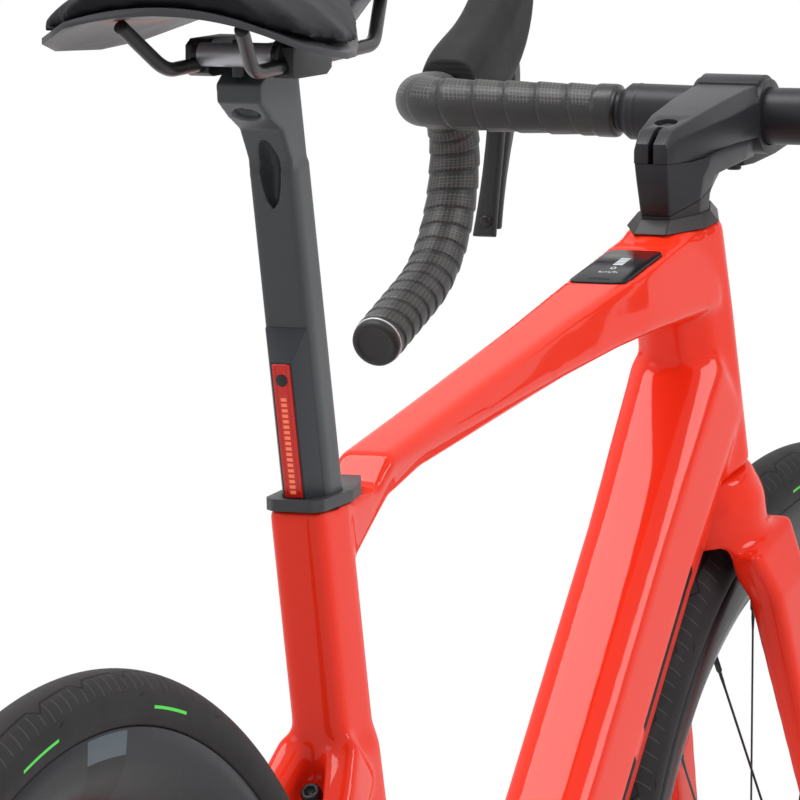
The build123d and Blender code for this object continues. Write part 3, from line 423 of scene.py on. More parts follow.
glass = Finish("display_glass", (0.004, 0.004, 0.006), 0.12, specular_ior_level=0.12)
glass.varied(0.10, 0.24, 70, 4)
glass.tinted((0.012, 0.012, 0.016), 40, 2)
machined("display_glass", "display", 0.0004, "frame", "display_glass", glass.material)
lit = Finish("display_marks", (0.45, 0.47, 0.5), 0.5, emission_strength=0.25)
lit.shade({"Emission Color": lit.mixed(lit.speckle(300, 1), (0.5, 0.52, 0.55), (0.75, 0.78, 0.8))})
lit.varied(0.4, 0.6, 200, 2)
bars = [patch_on_display((2.0 + 3.0 * step, 4.1 + 3.0 * step), 2.8, 0.1) for step in range(5)]
add("charge_bars", joined(bars), "frame", "display_glass", lit.material)
printed("speed_figure", "0", 0.007, -4.5, lit.material)
printed("speed_unit", "km/h", 0.0055, -12.5, lit.material)
# The charging slot is painted shadow: a flat near-black patch on the glass where its opening would be.
dark = Finish("slot_shadow", (0.002, 0.002, 0.002), 0.9)
dark.varied(0.8, 1.0, 200, 2)
add("charging_slot", patch_on_display((-27.5, -24.5), 6.0, 0.14), "frame", "display_glass",
    dark.material)

# ---- Frame bolts. Black hex socket screws: one in the mudguard pocket behind the seat tube and two
# for a bottle cage on the down tube's upper side.


def unit(vectors):
    """Vectors at length one."""
    return vectors / np.linalg.norm(vectors, axis=-1, keepdims=True)


def full_turn(count):
    """So many angles of a full turn, evenly spaced from 0."""
    return np.linspace(0, 2 * np.pi, count, endpoint=False)


def on_circle(radius, angle):
    """The points (r cos a, r sin a)."""
    return radius * np.stack([np.cos(angle), np.sin(angle)], -1)


def lengths(line):
    """How far along a line of points each of them is."""
    return np.append(0, np.cumsum(np.linalg.norm(np.diff(line, axis=0), axis=1)))


def on_line(place, length, line):
    """Points on a line, by the length at which each of its own points stands."""
    return np.stack([np.interp(place, length, column) for column in np.array(line, float).T], -1)


def round_about(profile, centre, axis, steps=64, hollow=None):
    """A profile turned about an axis: point (radius, along) goes to centre + along times the axis +
    radius times (cos a, sin a) in the plane across it. hollow shapes the last rings as a hexagon."""
    axis = unit(np.array(axis, float))
    first = unit(np.cross(axis, [0.0, 1.0, 0.0] if abs(axis[1]) < 0.9 else [1.0, 0.0, 0.0]))
    angle = full_turn(steps)[:, None]
    profile = np.array(profile, float)
    radius, along = profile.T
    radius = np.broadcast_to(radius, (steps, len(radius))).copy()
    if hollow:
        radius[:, hollow] /= np.cos((angle + np.pi / 6) % (np.pi / 3) - np.pi / 6)
    ring = on_circle(1, angle) @ np.stack([first, np.cross(axis, first)])
    grid = np.array(centre) + along[None, :, None] * axis + radius[..., None] * ring
    chart = pairs(np.linspace(0, 2 * np.pi, steps + 1) * abs(profile[:, 0]).max(), lengths(profile))
    return surface(grid, (True, False), chart)


def socket_screw(place, axis, radius, rise):
    """A low round screw head with a hexagonal socket, its axis pointing out of the part."""
    key = radius * 0.5
    profile = ((0.0, -0.002), (radius, -0.002), (radius, rise * 0.6), (radius * 0.86, rise), (key * 1.12, rise),
               (key, rise - 0.0003), (key, rise * 0.3), (0.0, rise * 0.3))
    return round_about(profile, place, axis, 48, slice(4, 7))


screw_black = cast_alloy("screw_black", (0.02, 0.02, 0.022))
screws = [
    socket_screw(at(281, 0, 589), (-0.75, 0, 0.66), 0.0052, 0.0035),
    socket_screw(at(597, 0, 520), (-0.7274, 0, 0.6862), 0.0045, 0.003),
    socket_screw(at(553, 0, 473), (-0.7274, 0, 0.6862), 0.0045, 0.003),
]
add("frame_screws", joined(screws), "frame", "black_alloy", screw_black)

# ---- Fork. One carbon moulding from crown to dropouts in the frame's paint, on a bare steerer.

add("fork_blades", moulded(["fork"], 0.0014, 0.004, 24, 84000), "steering", "frame_paint",
    frame_paint("fork_paint", False), "fork")

# ---- Headset cover, neck and stem. Forged alloy in satin black. The cover is screwed down on the head
# tube, and the neck and stem clamp the steerer with one countersunk bolt over a slot in the rear.


def satin_black(name, colour, roughness, grain=900):
    """Blasted and anodised alloy or painted carbon: an even satin sheen over a very fine grain."""
    satin = Finish(name, colour, roughness, specular_ior_level=0.25)
    return satin.textured((roughness - 0.05, roughness + 0.06, 45, 3),
                          ([c * 1.35 + 0.001 for c in colour], 14, 3), (grain, 2, 0.00004))


anodised = satin_black("stem_satin", (0.014, 0.014, 0.017), 0.40)
machined("headset_foot", "headset_cover", 0.0012, "frame", "black_satin",
         satin_black("headset_satin", (0.020, 0.016, 0.017), 0.42), 34, 3)
machined("stem_neck", "stem_spacer", 0.0006, "steering", "black_satin", anodised)
machined("stem_body", "stem", 0.0008, "steering", "black_satin", anodised)
add("stem_bolt", socket_screw(at(787.4, 0, 881.6), (-0.24, 0, 0.97), 0.0052, 0.0022), "steering",
    "black_satin", cast_alloy("bolt_black", (0.035, 0.035, 0.04)))

# ---- Handlebar. A butted alloy tube, thick where the stem grips it, with compact drops. It is bent in
# one piece, and only its middle stays bare.

BAR_POINTS = ((898, 0, 882), (898, 200, 884), (986, 201, 884), (977, 203, 790), (875, 206, 750))
BAR_RADII = (36, 38, 80)
BAR_STEP = 0.8
BAR_SIDES = 48
TAPE_FROM = 68.0


def bent(points, radii, step):
    """Points a step apart along straight runs joined by arcs. An arc starts at a, r tan(phi / 2) before its
    corner, and its point at angle t is a + r sin(t) along the run + r (1 - cos t) across it."""
    points = np.array(points, float)
    line = [points[:1]]
    for corner, before, after, radius in zip(points[1:-1], points[:-2], points[2:], radii):
        u, v = unit(corner - before), unit(after - corner)
        phi = math.acos(float(u @ v))
        across = unit(v - (v @ u) * u)
        t = np.linspace(0, phi, 24)[:, None]
        start = corner - u * radius * math.tan(phi / 2)
        line.append(start + u * radius * np.sin(t) + across * radius * (1 - np.cos(t)))
    line = np.concatenate([*line, points[-1:]])
    length = lengths(line)
    place = np.linspace(0, length[-1], int(length[-1] / step) + 1)
    return place, on_line(place, length, line)


def around(line, radius, sides, upright):
    """Rings round a line: point + radius (cos a normal + sin a binormal), with a radius for each ring or
    for each of its points. The normal is upright over the given share of the line, and after it square to
    the line in side view."""
    ahead = unit(np.gradient(line, axis=0))
    normal = np.tile([0.0, 0.0, 1.0], (len(line), 1))
    late = np.arange(len(line)) > upright * len(line)
    normal[late] = np.cross(ahead, [0.0, 1.0, 0.0])[late]
    normal = unit(normal - (normal * ahead).sum(1)[:, None] * ahead)
    ring = on_circle(1, full_turn(sides)) @ np.stack([normal, np.cross(ahead, normal)], 1)
    return line[:, None] + ring * radius.reshape(len(line), -1, 1)


def closed(grid, line):
    """Rings round a line with both ends drawn to the line's own end points."""
    ends = [np.broadcast_to(line[k], (1, *grid.shape[1:])) for k in (0, -1)]
    return np.concatenate([ends[0], grid, ends[1]])


def both_sides(grid, chart=None, weld=0.0):
    """Rings given in millimetres, and their mirror image across the bike, as one mesh."""
    meshes = [surface(GROUND + grid * [1, side, 1] / 1000, (False, True), chart) for side in (1, -1)]
    return joined(meshes, weld)


travel, bar_line = bent(BAR_POINTS, BAR_RADII, BAR_STEP)
thick = np.interp(travel, (0, 61, 66, travel[-1]), (15.9, 15.9, 12.0, 12.0))
ring = np.interp(travel, (55.4, 55.8, 56.6, 57.0), (0, 0.25, 0.25, 0))
kept = travel < TAPE_FROM + 2
kept[::6] = kept[-1] = True
tube = around(bar_line, thick + ring, BAR_SIDES, 0.55)[kept]
add("bar_tube", both_sides(tube, weld=0.00002), "steering", "black_satin", anodised, "handlebar")

# ---- Bar tape. Thin foam-backed synthetic tape wound round the bar from the plugs inwards, each turn over
# the edge of the last. Its face is embossed with patches of small squares. A smooth band finishes it.

TAPE_R = 14.9
TAPE_SIDES = 56
LIFT = 0.95
BAND_TO = 81.0
PATCH = (0.31, 0.5)


def wound(travel):
    """Turns of tape so far: wide turns on the tops, closer ones round the drops."""
    pitch = np.interp(travel, (0, 190, 240, travel[-1]), (19.0, 19.0, 13.0, 11.6))
    return np.cumsum(pitch**-1.0) * BAR_STEP, pitch


taped = travel > BAND_TO
turns, pitch = wound(travel[taped])
angle = np.linspace(0, 1, TAPE_SIDES + 1)
share = (turns[:, None] - angle) % 1.0
lift = LIFT * share**0.7 * np.sqrt(np.clip((1 - share) / 0.08, 0, 1))
tape_grid = around(bar_line[taped], TAPE_R - LIFT + lift[:, :-1], TAPE_SIDES, 0.47)
chart = np.stack([share * pitch[:, None] / 1000, np.broadcast_to(angle, share.shape)], -1)
tape = Finish("tape_cork", (0.009, 0.008, 0.009), 0.42, specular_ior_level=0.4)
over, about = tape.charted()
over = over * 1000.0
cells = ((over % 2.1) > 0.75) * (((about * 36.0) % 1.0) > 0.3)
patch = (over > 3.0) * (over < 15.8) * (((about + 0.21) % PATCH[1]) < PATCH[0])
edge = over < 0.9
pits = cells * patch
rubbed = patch * 0.6 + tape.speckle(30, 3) * 0.3
face = tape.mixed(rubbed, (0.007, 0.007, 0.0075), (0.095, 0.092, 0.090))
# Painted shade: the pits of the embossed squares and a thin line under each turn's edge go towards near-black.
shaded = (pits * 0.75 + edge).at_most(1.0)
tape.painted(shaded, face, (0.003, 0.003, 0.003))
tape.varied(0.36, 0.55, 80, 3)
tape.raised(tape.speckle(500, 2) * 0.12 - pits, 0.0005)
band_s = np.linspace(TAPE_FROM, BAND_TO + 2.5, 14)
band_line = on_line(band_s, travel, bar_line)
band_r = np.interp(band_s, (TAPE_FROM, TAPE_FROM + 0.8, TAPE_FROM + 3, BAND_TO - 1, BAND_TO + 2.5),
                   (12.0, 14.6, 15.1, 15.1, 14.0))
band_grid = around(band_line, band_r, TAPE_SIDES, 1.1)
add("tape_turns", both_sides(tape_grid, chart), "steering", "bar_tape", tape.material, "bar_tape")
banding = Finish("finishing_band", (0.014, 0.014, 0.015), 0.34, specular_ior_level=0.35)
banding.textured((0.28, 0.42, 70, 3), ((0.026, 0.026, 0.027), 20, 2), (300, 3, 0.0001))
add("tape_bands", both_sides(band_grid), "steering", "bar_tape", banding.material)

# ---- Bar plugs. Turned plastic stoppers pushed into the bar's ends over the tape, each with a thin
# bright ring round its edge and a dished face.

BAR_END = bar_line[-1]
END_AIM = unit(bar_line[-1] - bar_line[-4])
plug_black = satin_black("plug_plastic", (0.022, 0.022, 0.023), 0.42)
for name, replaced, finish, profile in (
    ("plug_bodies", ("bar_plugs",), plug_black,
     ((0, 0), (13.3, 0), (14.1, 0.9), (14.2, 3.0), (13.6, 5.2), (12.4, 6.0), (10.2, 6.1), (9.8, 5.5),
      (9.3, 5.4), (0, 5.2))),
    ("plug_rings", (), cast_alloy("plug_ring", (0.55, 0.55, 0.56)),
     ((13.2, -0.2), (14.45, -0.2), (14.6, 0.3), (14.45, 0.8), (13.2, 0.8))),
):
    halves = [round_about(np.array(profile) / 1000, at(*(BAR_END * flip)), END_AIM * flip, 72)
              for flip in ([1, 1, 1], [1, -1, 1])]
    add(name, joined(halves), "steering", "black_plastic", finish, *replaced)

# ---- Brake hoods, levers and shift paddles. The hood is a soft rubber cover over the lever body. The
# lever blade is forged, and the paddle behind it is moulded. They hang on the bar by a hidden band.

hood = Finish("hood_rubber", (0.016, 0.016, 0.017), 0.62, specular_ior_level=0.2)
x, y, z = hood.axes()
ribs = ((x * 0.42 + z * 0.30) % 1.0 < 0.45) * (x < 1030.0) * (z > 889.0)
# Painted shade: the rib grooves are painted darker as well as bumped down.
hood.painted(ribs * 0.6, (0.017, 0.017, 0.018), (0.006, 0.006, 0.007))
hood.varied(0.52, 0.70, 60, 3)
hood.raised(hood.speckle(1100, 1) * 0.3 - ribs, 0.0003)
add("hoods", moulded(["brake_hoods"], 0.0011, 0, 8, 48000), "steering", "rubber_black", hood.material,
    "brake_hoods")
lever_black = satin_black("lever_satin", (0.022, 0.022, 0.024), 0.30)
add("lever_blades", moulded(["brake_levers"], 0.0008, 0, 6, 26000), "steering", "black_satin", lever_black,
    "brake_levers")
add("paddles", moulded(["shift_paddles"], 0.0007, 0, 5, 24000), "steering", "black_plastic", plug_black,
    "shift_paddles")
pins = [round_about([(0, -2e-4), (0.0034, -2e-4), (0.0034, 4e-4), (0.0026, 8e-4), (0, 9e-4)],
                    at(1023.8, 200 * side - 1.0, 806), (-0.98, 0, -0.18), 40) for side in (1, -1)]
add("paddle_pins", joined(pins), "steering", "black_plastic", lever_black)

# ---- Computer mount. A slotted nylon bracket under the stem's clamp, held by one small screw.

machined("mount_bracket", "computer_mount", 0.0006, "steering", "black_plastic", plug_black)
add("mount_screw", socket_screw(at(896, 0, 854.8), (0, 0, -1), 0.0042, 0.003), "steering",
    "black_plastic", screw_black)

# ---- Seat collar. A rubber cap over the clamp wedge, pressed down round the post, with a chamfered top.

rubber = Finish("collar_rubber", (0.018, 0.019, 0.021), 0.5)
rubber.textured((0.42, 0.6, 70, 3), ((0.034, 0.034, 0.038), 30, 3), (900, 1, 0.00004))
machined("collar_cap", "seat_collar", 0.0013, "frame", "rubber_black", rubber.material, 34, 3)

# ---- Seatpost. A moulded carbon post of D section in satin anthracite, with a pointed window in the rear
# of its head and a recess for the clamp's rear bolt.

WINDOW_LINE = ((223.0, 917), (227.5, 909), (230.4, 901), (231.8, 893), (233.6, 886), (234.6, 882))
WINDOW_DEEP, WINDOW_HALF = 9.0, 5.6


def cut(mesh, cutter):
    """The mesh less the cutter."""
    tool = placed("cutter", cutter)
    mesh = settled(mesh, ("BOOLEAN", {"operation": "DIFFERENCE", "object": tool, "solver": "EXACT"}))
    bpy.data.objects.remove(tool)
    return mesh


def window_cutter():
    """A spindle down the post's rear face: at share t of its line its half width is 5.6 times
    sin(pi t^0.72)^0.75, and its depth 9 times that."""
    t = np.linspace(0, 1, 33)
    middle = on_line(t, np.linspace(0, 1, len(WINDOW_LINE)), WINDOW_LINE)[:, None]
    swell = np.clip(np.sin(np.pi * t**0.72), 0, 1)[:, None] ** 0.75
    angle = full_turn(28)
    x = middle[..., 0] + WINDOW_DEEP * swell * np.cos(angle)
    y = WINDOW_HALF * swell * np.sin(angle)
    z = np.broadcast_to(middle[..., 1], x.shape)
    return surface(GROUND + np.stack([x, y, z], -1) / 1000, (False, True))


def prism(outline, half):
    """A filler between y = -half and half with an outline in side view."""
    outline = np.array(outline, float)
    middle = np.tile(outline.mean(0), (len(outline), 1))
    grid = np.array([np.insert(ring, 1, side, 1)
                     for ring, side in ((middle, -half), (outline, -half), (outline, half), (middle, half))])
    return surface(GROUND + grid / 1000, (False, True))


fill = prism(((218.5, 920.5), (229.2, 906), (231.4, 897), (236, 897), (236, 920.5)), 5.4)
post_mesh = moulded(["seatpost"], 0.0010, 0, 7, 56000, fill)
add("post", cut(post_mesh, window_cutter()), "frame", "seatpost_grey",
    satin_black("post_satin", (0.047, 0.050, 0.054), 0.36), "seatpost")

# ---- Tail light. A black wedge-topped housing clipped to the rear of the post, with a long red lens over
# one column of small lamps and a round push button at its head.

POST_ORIGIN = (254.3, 872.2)
POST_AIM = (-0.2487, 0.9686)
LAMP_RUN = (-128.5, -77.5)
LAMP_STEP, LAMP_TALL, LAMP_HALF = 2.83, 1.75, 1.5

machined("light_housing", "tail_light_housing", 0.0006, "frame", "black_plastic",
         satin_black("light_housing", (0.034, 0.036, 0.041), 0.4))
lens = Finish("red_lens", (0.62, 0.012, 0.008), 0.16, coat_weight=0.35, coat_roughness=0.05,
              emission_strength=0.2, specular_ior_level=0.2)
x, y, z = lens.axes()
climb = (x - POST_ORIGIN[0]) * POST_AIM[0] + (z - POST_ORIGIN[1]) * POST_AIM[1]
inside = (climb > LAMP_RUN[0]) * (climb < LAMP_RUN[1])
lamps = inside * (abs(y) < LAMP_HALF) * (((climb - LAMP_RUN[0]) % LAMP_STEP) < LAMP_TALL)
rails = abs(abs(y) - 2.9) < 0.3
red = lens.mixed(rails * 0.6, (0.55, 0.014, 0.006), (0.26, 0.004, 0.003))
lens.painted(lamps, red, (0.90, 0.16, 0.07))
lens.shade({"Emission Color": lens.mixed(lamps, (0.35, 0.004, 0.002), (1.0, 0.32, 0.2))})
lens.varied(0.12, 0.22, 200, 2)
lens.raised((climb % 0.9) * (1 - lamps), 0.00008)
machined("light_lens", "tail_light_lens", 0.0006, "frame", "red_lens", lens.material)
button_profile = [(0, -1e-3), (0.0031, -1e-3), (0.0031, 3e-4), (0.0027, 7e-4), (0, 8e-4)]
add("light_button", round_about(button_profile, beside(POST_ORIGIN, POST_AIM, -69.5, 29.0),
                                (-POST_AIM[1], 0, POST_AIM[0]), 40), "frame", "black_plastic", plug_black)

# ---- Saddle. Foam under a seamed synthetic cover on a moulded shell, with bent alloy rails that a forged
# clamp grips on the post. Red trim shows in the hollows under its rear wings.

RAIL_POINTS = ((352, 8, 978), (318, 18, 957), (156, 22.5, 953), (122, 31, 976))
RAIL_BEND, RAIL_R = 30, 3.5
BLOWN_FRAMES = 20
PAD_CELL, PAD_PRESSURE, PAD_CAP = 0.0026, 4.0, 0.0025


def puffed(mesh, cell, pressure, cap):
    """A cover blown up from inside as cloth. Each point ends at its start + its move times the lesser of 1
    and cap over the move's length."""
    mesh = settled(mesh, ("REMESH", {"mode": "VOXEL", "voxel_size": cell}),
                   ("SMOOTH", {"factor": 0.5, "iterations": 5}))
    holder = placed("cover", mesh)
    cloth = holder.modifiers.new("cover", "CLOTH")
    cloth.settings.use_pressure = True
    cloth.settings.uniform_pressure_force = pressure
    cloth.settings.effector_weights.gravity = 0.0
    for number in range(1, BLOWN_FRAMES + 1):
        bpy.context.scene.frame_set(number)
    blown = holder.evaluated_get(bpy.context.evaluated_depsgraph_get()).data
    start = places(mesh).reshape(-1, 3)
    move = places(blown).reshape(-1, 3) - start
    length = np.linalg.norm(move, axis=1)[:, None] + 1e-9
    bpy.data.objects.remove(holder)
    mesh.vertices.foreach_set("co", (start + move * np.minimum(1, cap / length)).ravel())
    mesh.update()
    bpy.context.scene.frame_set(1)
    mesh = settled(mesh, ("SUBSURF", {"levels": 1, "render_levels": 1}))
    mesh.shade_smooth()
    return mesh


cover = Finish("saddle_cover", (0.011, 0.011, 0.013), 0.55, specular_ior_level=0.1)
x, y, z = cover.axes()
seam = abs(abs(y) - (6.0 + (x - 120.0) * -0.02)) < 0.55
flanks = (x > 118.0) * (x < 300.0)
grip = cover.node("ShaderNodeTexVoronoi", {}, {"Vector": cover.place, "Scale": 900.0})
cover.varied(0.45, 0.62, 40, 3)
cover.tinted((0.018, 0.017, 0.021), 18, 3)
cover.raised(grip * 0.25 - seam * flanks, 0.0004)
pad_blank = merged(["saddle_pad"])
push(pad_blank, -0.0004)
pad = add("saddle_cover", puffed(pad_blank, PAD_CELL, PAD_PRESSURE, PAD_CAP), "frame", "saddle_cover",
          cover.material, "saddle_pad")

shell = Finish("shell_plastic", (0.05, 0.05, 0.054), 0.42, specular_ior_level=0.3)
x, y, z = shell.axes()
trim = (abs(abs(y) - 33.0) < 4.5) * (x > 108.0) * (x < 182.0)
plastic = shell.mixed(shell.speckle(12, 3), (0.060, 0.061, 0.065), (0.036, 0.036, 0.040))
shell.painted(trim, plastic, (0.16, 0.006, 0.006))
shell.varied(0.34, 0.5, 50, 3)
shell.raised(shell.speckle(800, 2), 0.00008)
machined("saddle_base", "saddle_shell", 0.0006, "frame", "black_plastic", shell.material, 40)

_, rail_line = bent(RAIL_POINTS, (RAIL_BEND, RAIL_BEND), 1.5)
rail_grid = closed(around(rail_line, np.full(len(rail_line), RAIL_R), 24, -1), rail_line)
add("rail_bars", both_sides(rail_grid), "frame", "black_satin",
    satin_black("rail_satin", (0.018, 0.018, 0.019), 0.30), "saddle_rails")
machined("clamp_body", "saddle_clamp", 0.0009, "frame", "black_alloy",
         cast_alloy("clamp_forging", (0.022, 0.022, 0.024)))
barrel = [(0, -0.0200), (0.0044, -0.0200), (0.0057, -0.0190), (0.0057, 0.0190), (0.0044, 0.0200), (0, 0.0200)]
add("clamp_barrel", round_about(barrel, at(190, 0, 959), (0, 1, 0), 64), "frame", "black_alloy",
    cast_alloy("polished_barrel", (0.34, 0.34, 0.36), 300))

# ---- Wheels. Deep hooked carbon rims laced with bladed steel spokes and alloy hubs, under folding tyres
# with a slick crown, a zigzag shoulder groove, cross sipes and short green dashes on each sidewall.

TYRE_R, TYRE_HALF = 343.0, 16.5
REPEATS = 46
GROOVE_AT, GROOVE_REACH, GROOVE_HALF = 6.2, 4.6, 0.55
SIPES, SIPE_END, SIPE_HALF = 5, 16.5, 0.038
TICKS = (19.6, 21.4)
BEADS = ((31.6, 0.22), (18.6, 0.12))
DASHES = ((77.55, 3.35), (103.35, 3.45))
DASH_AT, DASH_HALF = 26.4, 0.75
LABEL_AT, LABEL_HALF = 89.35, 4.05
LABEL_BAND, LABEL_EDGE = (0.283, 0.3155), 0.304
SPOKES, HUB_R, NIPPLE_R = 24, 19, 279
SPOKE_FLANGES = {"front": (21, 34), "rear": (37, 20)}
SPOKE_SHAPE = ((0, 1, 1), (0.03, 1, 1), (0.06, 1.15, 0.55), (0.5, 1.15, 0.55), (0.9, 1.15, 0.55), (0.93, 1, 1),
               (0.945, 1, 1), (0.95, 1.7, 1.7), (1, 1.7, 1.7))
TYRE_EDGE_R = 317.3
WHEEL_STEPS = 360
RIM_PROFILE = ((277, 0), (277.4, 1.8), (278.6, 3.6), (281, 5.3), (286, 7.7), (291.5, 10.3), (297, 12.4),
               (302, 13.3), (309, 13.8), (316.2, 14), (317, 13.4), (317, 12.1), (316.4, 11.5), (311, 11.5))


def ringed(profile, centre, chart_across):
    """A closed profile of (radius, offset) in millimetres swept round an axle: the point at angle a is
    centre + (r cos a, y, r sin a). The map holds turns and a value for each profile point."""
    radius, offset = np.array(profile, float).T / 1000
    turn = full_turn(WHEEL_STEPS)[:, None]
    grid = np.stack([radius * np.cos(turn), offset + 0 * turn, radius * np.sin(turn)], -1)
    chart = pairs(np.linspace(0, 1, WHEEL_STEPS + 1), np.append(chart_across, chart_across[0]))
    return surface(grid + centre, (True, True), chart)


def tyre_rubber(name, turned_by):
    """Black rubber with its tread cut by formulas in turns round the wheel and millimetres off the crown."""
    rubber = Finish(name, (0.020, 0.019, 0.020), 0.62, specular_ior_level=0.15)
    turn, off = rubber.charted()
    off = abs(off * 1000.0)
    share = (turn * REPEATS) % 1.0
    zigzag = GROOVE_AT + (1.0 - abs(share - 0.84) / 0.16).at_least(0.0) * GROOVE_REACH
    groove = abs(off - zigzag) < GROOVE_HALF
    across = turn * REPEATS * SIPES - (off - 12.0) * 0.02
    reach = (across % 2.0 > 1.0) * 1.5 + SIPE_END
    sipes = (abs(across % 1.0 - 0.5) < SIPE_HALF) * (off > zigzag + 1.6) * (off < reach)
    ticks = abs(((turn * REPEATS / 2) % 1.0) - 0.3 - (off - 20.0) * 0.03) < 0.02
    ticks = ticks * (off > TICKS[0]) * (off < TICKS[1])
    beads = sum(abs(off - place) < half for place, half in BEADS)
    dashes = 0.0
    for middle, half in DASHES:
        dashes = (abs(((turn * 360.0 - middle + turned_by + 60.0) % 120.0) - 60.0) < half) + dashes
    dashes = dashes * (abs(off - DASH_AT) < DASH_HALF)
    worn = rubber.mixed(rubber.speckle(22, 4), (0.015, 0.014, 0.015), (0.027, 0.024, 0.026))
    worn = rubber.mixed((off > 9.0) * 0.35, worn, (0.012, 0.012, 0.013))
    # Painted highlight: the cross sipes are painted lighter grey, for light catching their edges. Painted
    # shade: the shoulder groove and the sidewall ticks are painted near-black.
    sipes_highlit = rubber.mixed(sipes.at_most(1.0), worn, (0.058, 0.054, 0.056))
    grooves_shaded = rubber.mixed((groove + ticks).at_most(1.0), sipes_highlit, (0.003, 0.003, 0.003))
    rubber.painted(dashes, grooves_shaded, (0.10, 0.68, 0.09))
    rubber.varied(0.55, 0.72, 60, 3)
    rubber.raised(rubber.speckle(700, 2) * 0.08 - (groove + sipes + ticks).at_most(1.0) + beads * 0.25, 0.0006)
    return rubber.material


def rim_carbon(name, label):
    """Lacquered carbon, nearly black, over a faint woven twill; the rear rim has a bare two-tone patch."""
    carbon = Finish(name, (0.013, 0.013, 0.016), 0.30, coat_weight=0.1, coat_roughness=0.12,
                    specular_ior_level=0.06)
    turn, radius = carbon.charted()
    x, y, z = carbon.axes()
    twill = ((x + z) % 4.0 < 2.0) * 0.5 + ((x - z) % 4.0 < 2.0) * 0.5
    base = carbon.mixed(twill * 0.5, (0.011, 0.0115, 0.014), (0.016, 0.0165, 0.020))
    if label:
        spot = abs(((turn * 360.0 - LABEL_AT + 90.0) % 180.0) - 90.0) < LABEL_HALF
        spot = spot * (radius > LABEL_BAND[0]) * (radius < LABEL_BAND[1])
        patch = carbon.mixed(radius > LABEL_EDGE, (0.003, 0.003, 0.004), (0.075, 0.095, 0.11))
        base = carbon.mixed(spot, base, patch)
    carbon.shade({"Base Color": base})
    carbon.varied(0.24, 0.34, 30, 3)
    carbon.raised(carbon.speckle(150, 2), 0.00005)
    return carbon.material


def spoke_set(centre, left, right):
    """Crossed bladed spokes: at share t from hub to rim, start + t (end - start), with two half widths.
    They are round at both ends, flat between, and swell into the nipple."""
    shape = np.array(SPOKE_SHAPE)
    ring = shape[:, None, 1:] * on_circle(1, full_turn(10))
    bars = []
    for i in range(SPOKES):
        side = left if i % 2 else -right
        rim_turn = math.radians(360 / SPOKES * i)
        hub_turn = rim_turn + math.radians(45 if (i // 2) % 2 else -45)
        start = np.insert(on_circle(HUB_R, -hub_turn), 1, side)
        end = np.insert(on_circle(NIPPLE_R, -rim_turn), 1, 0)
        ahead = unit(end - start)
        across = unit(np.cross(ahead, [0.0, 1.0, 0.0]))
        line = start + shape[:, :1] * (end - start)
        grid = line[:, None] + ring @ np.stack([across, np.cross(ahead, across)])
        bars.append(surface(centre + closed(grid, line) / 1000, (False, True)))
    return joined(bars)


spoke_black = satin_black("spoke_black", (0.016, 0.016, 0.017), 0.35)
hub_black = cast_alloy("hub_anodised", (0.024, 0.024, 0.026))
arc = math.acos((TYRE_EDGE_R - (TYRE_R - TYRE_HALF)) / TYRE_HALF)
phi = np.linspace(-arc, arc, 61)
tyre_profile = np.stack([TYRE_R - TYRE_HALF + TYRE_HALF * np.cos(phi), TYRE_HALF * np.sin(phi)], -1)
half_rim = np.array(RIM_PROFILE, float)
rim_profile = np.concatenate([half_rim, half_rim[:0:-1] * [1, -1]])
for end, centre, turned_by in (("front", FRONT_AXLE, 7.7), ("rear", REAR_AXLE, 0.0)):
    body = end + "_wheel"
    add(end + "_tread", ringed(tyre_profile, centre, phi * TYRE_HALF / 1000), body,
        "tyre_rubber", tyre_rubber(end + "_rubber", turned_by), end + "_tyre")
    add(end + "_hoop", ringed(rim_profile, centre, rim_profile[:, 0] / 1000), body,
        "rim_carbon", rim_carbon(end + "_carbon", end == "rear"), end + "_rim")
    add(end + "_lacing", spoke_set(centre, *SPOKE_FLANGES[end]), body, "black_satin",
        spoke_black, end + "_spokes")
    machined(end + "_hub_shell", end + "_hub", 0.0006, body, "black_alloy", hub_black, 30)

# ---- Brakes and thru axles. Drilled steel rotors ground on their faces, forged flat mount calipers with
# a short run of hose into the frame and fork, and hollow axles with hex heads.

HOLES, HOLE_R = 36.0, 2.0
HOLE_ROWS = ((70.5, 0.0), (75.8, 0.5))


def ground_steel(name, centre, rings, drilled):
    """Bright steel ground in circles: fine rings from the distance to the axle, and drilled holes painted
    near-black as painted shade in place of open holes.
    """
    steel = Finish(name, (0.42, 0.42, 0.43), 0.32, metallic=1.0)
    x, y, z = steel.axes()
    right, _, up = ((centre - GROUND) * 1000).tolist()
    x, z = x - right, z - up
    far = (x * x + z * z) ** 0.5
    turn = x.angle_with(z)
    circled = steel.node("ShaderNodeCombineXYZ", {}, {0: far * 3.0, 1: turn})
    grain = steel.node("ShaderNodeTexNoise", {}, {"Vector": circled, "Scale": 3.0})
    holes = 0.0
    for radius, shift in drilled:
        away = ((turn * (HOLES / (2 * math.pi)) + shift + HOLES) % 1.0 - 0.5) * (2 * math.pi * radius / HOLES)
        holes = ((away * away + (far - radius) * (far - radius)) < HOLE_R**2) + holes
    # The holes are painted shade: near-black dots where the rotor would be open.
    steel.painted(holes, steel.mixed(grain, (0.34, 0.34, 0.35), (0.52, 0.52, 0.53)), (0.01, 0.01, 0.01))
    steel.shade({"Roughness": grain * 0.18 + 0.24})
    steel.raised(grain * rings - holes, 0.0002)
    return steel.material


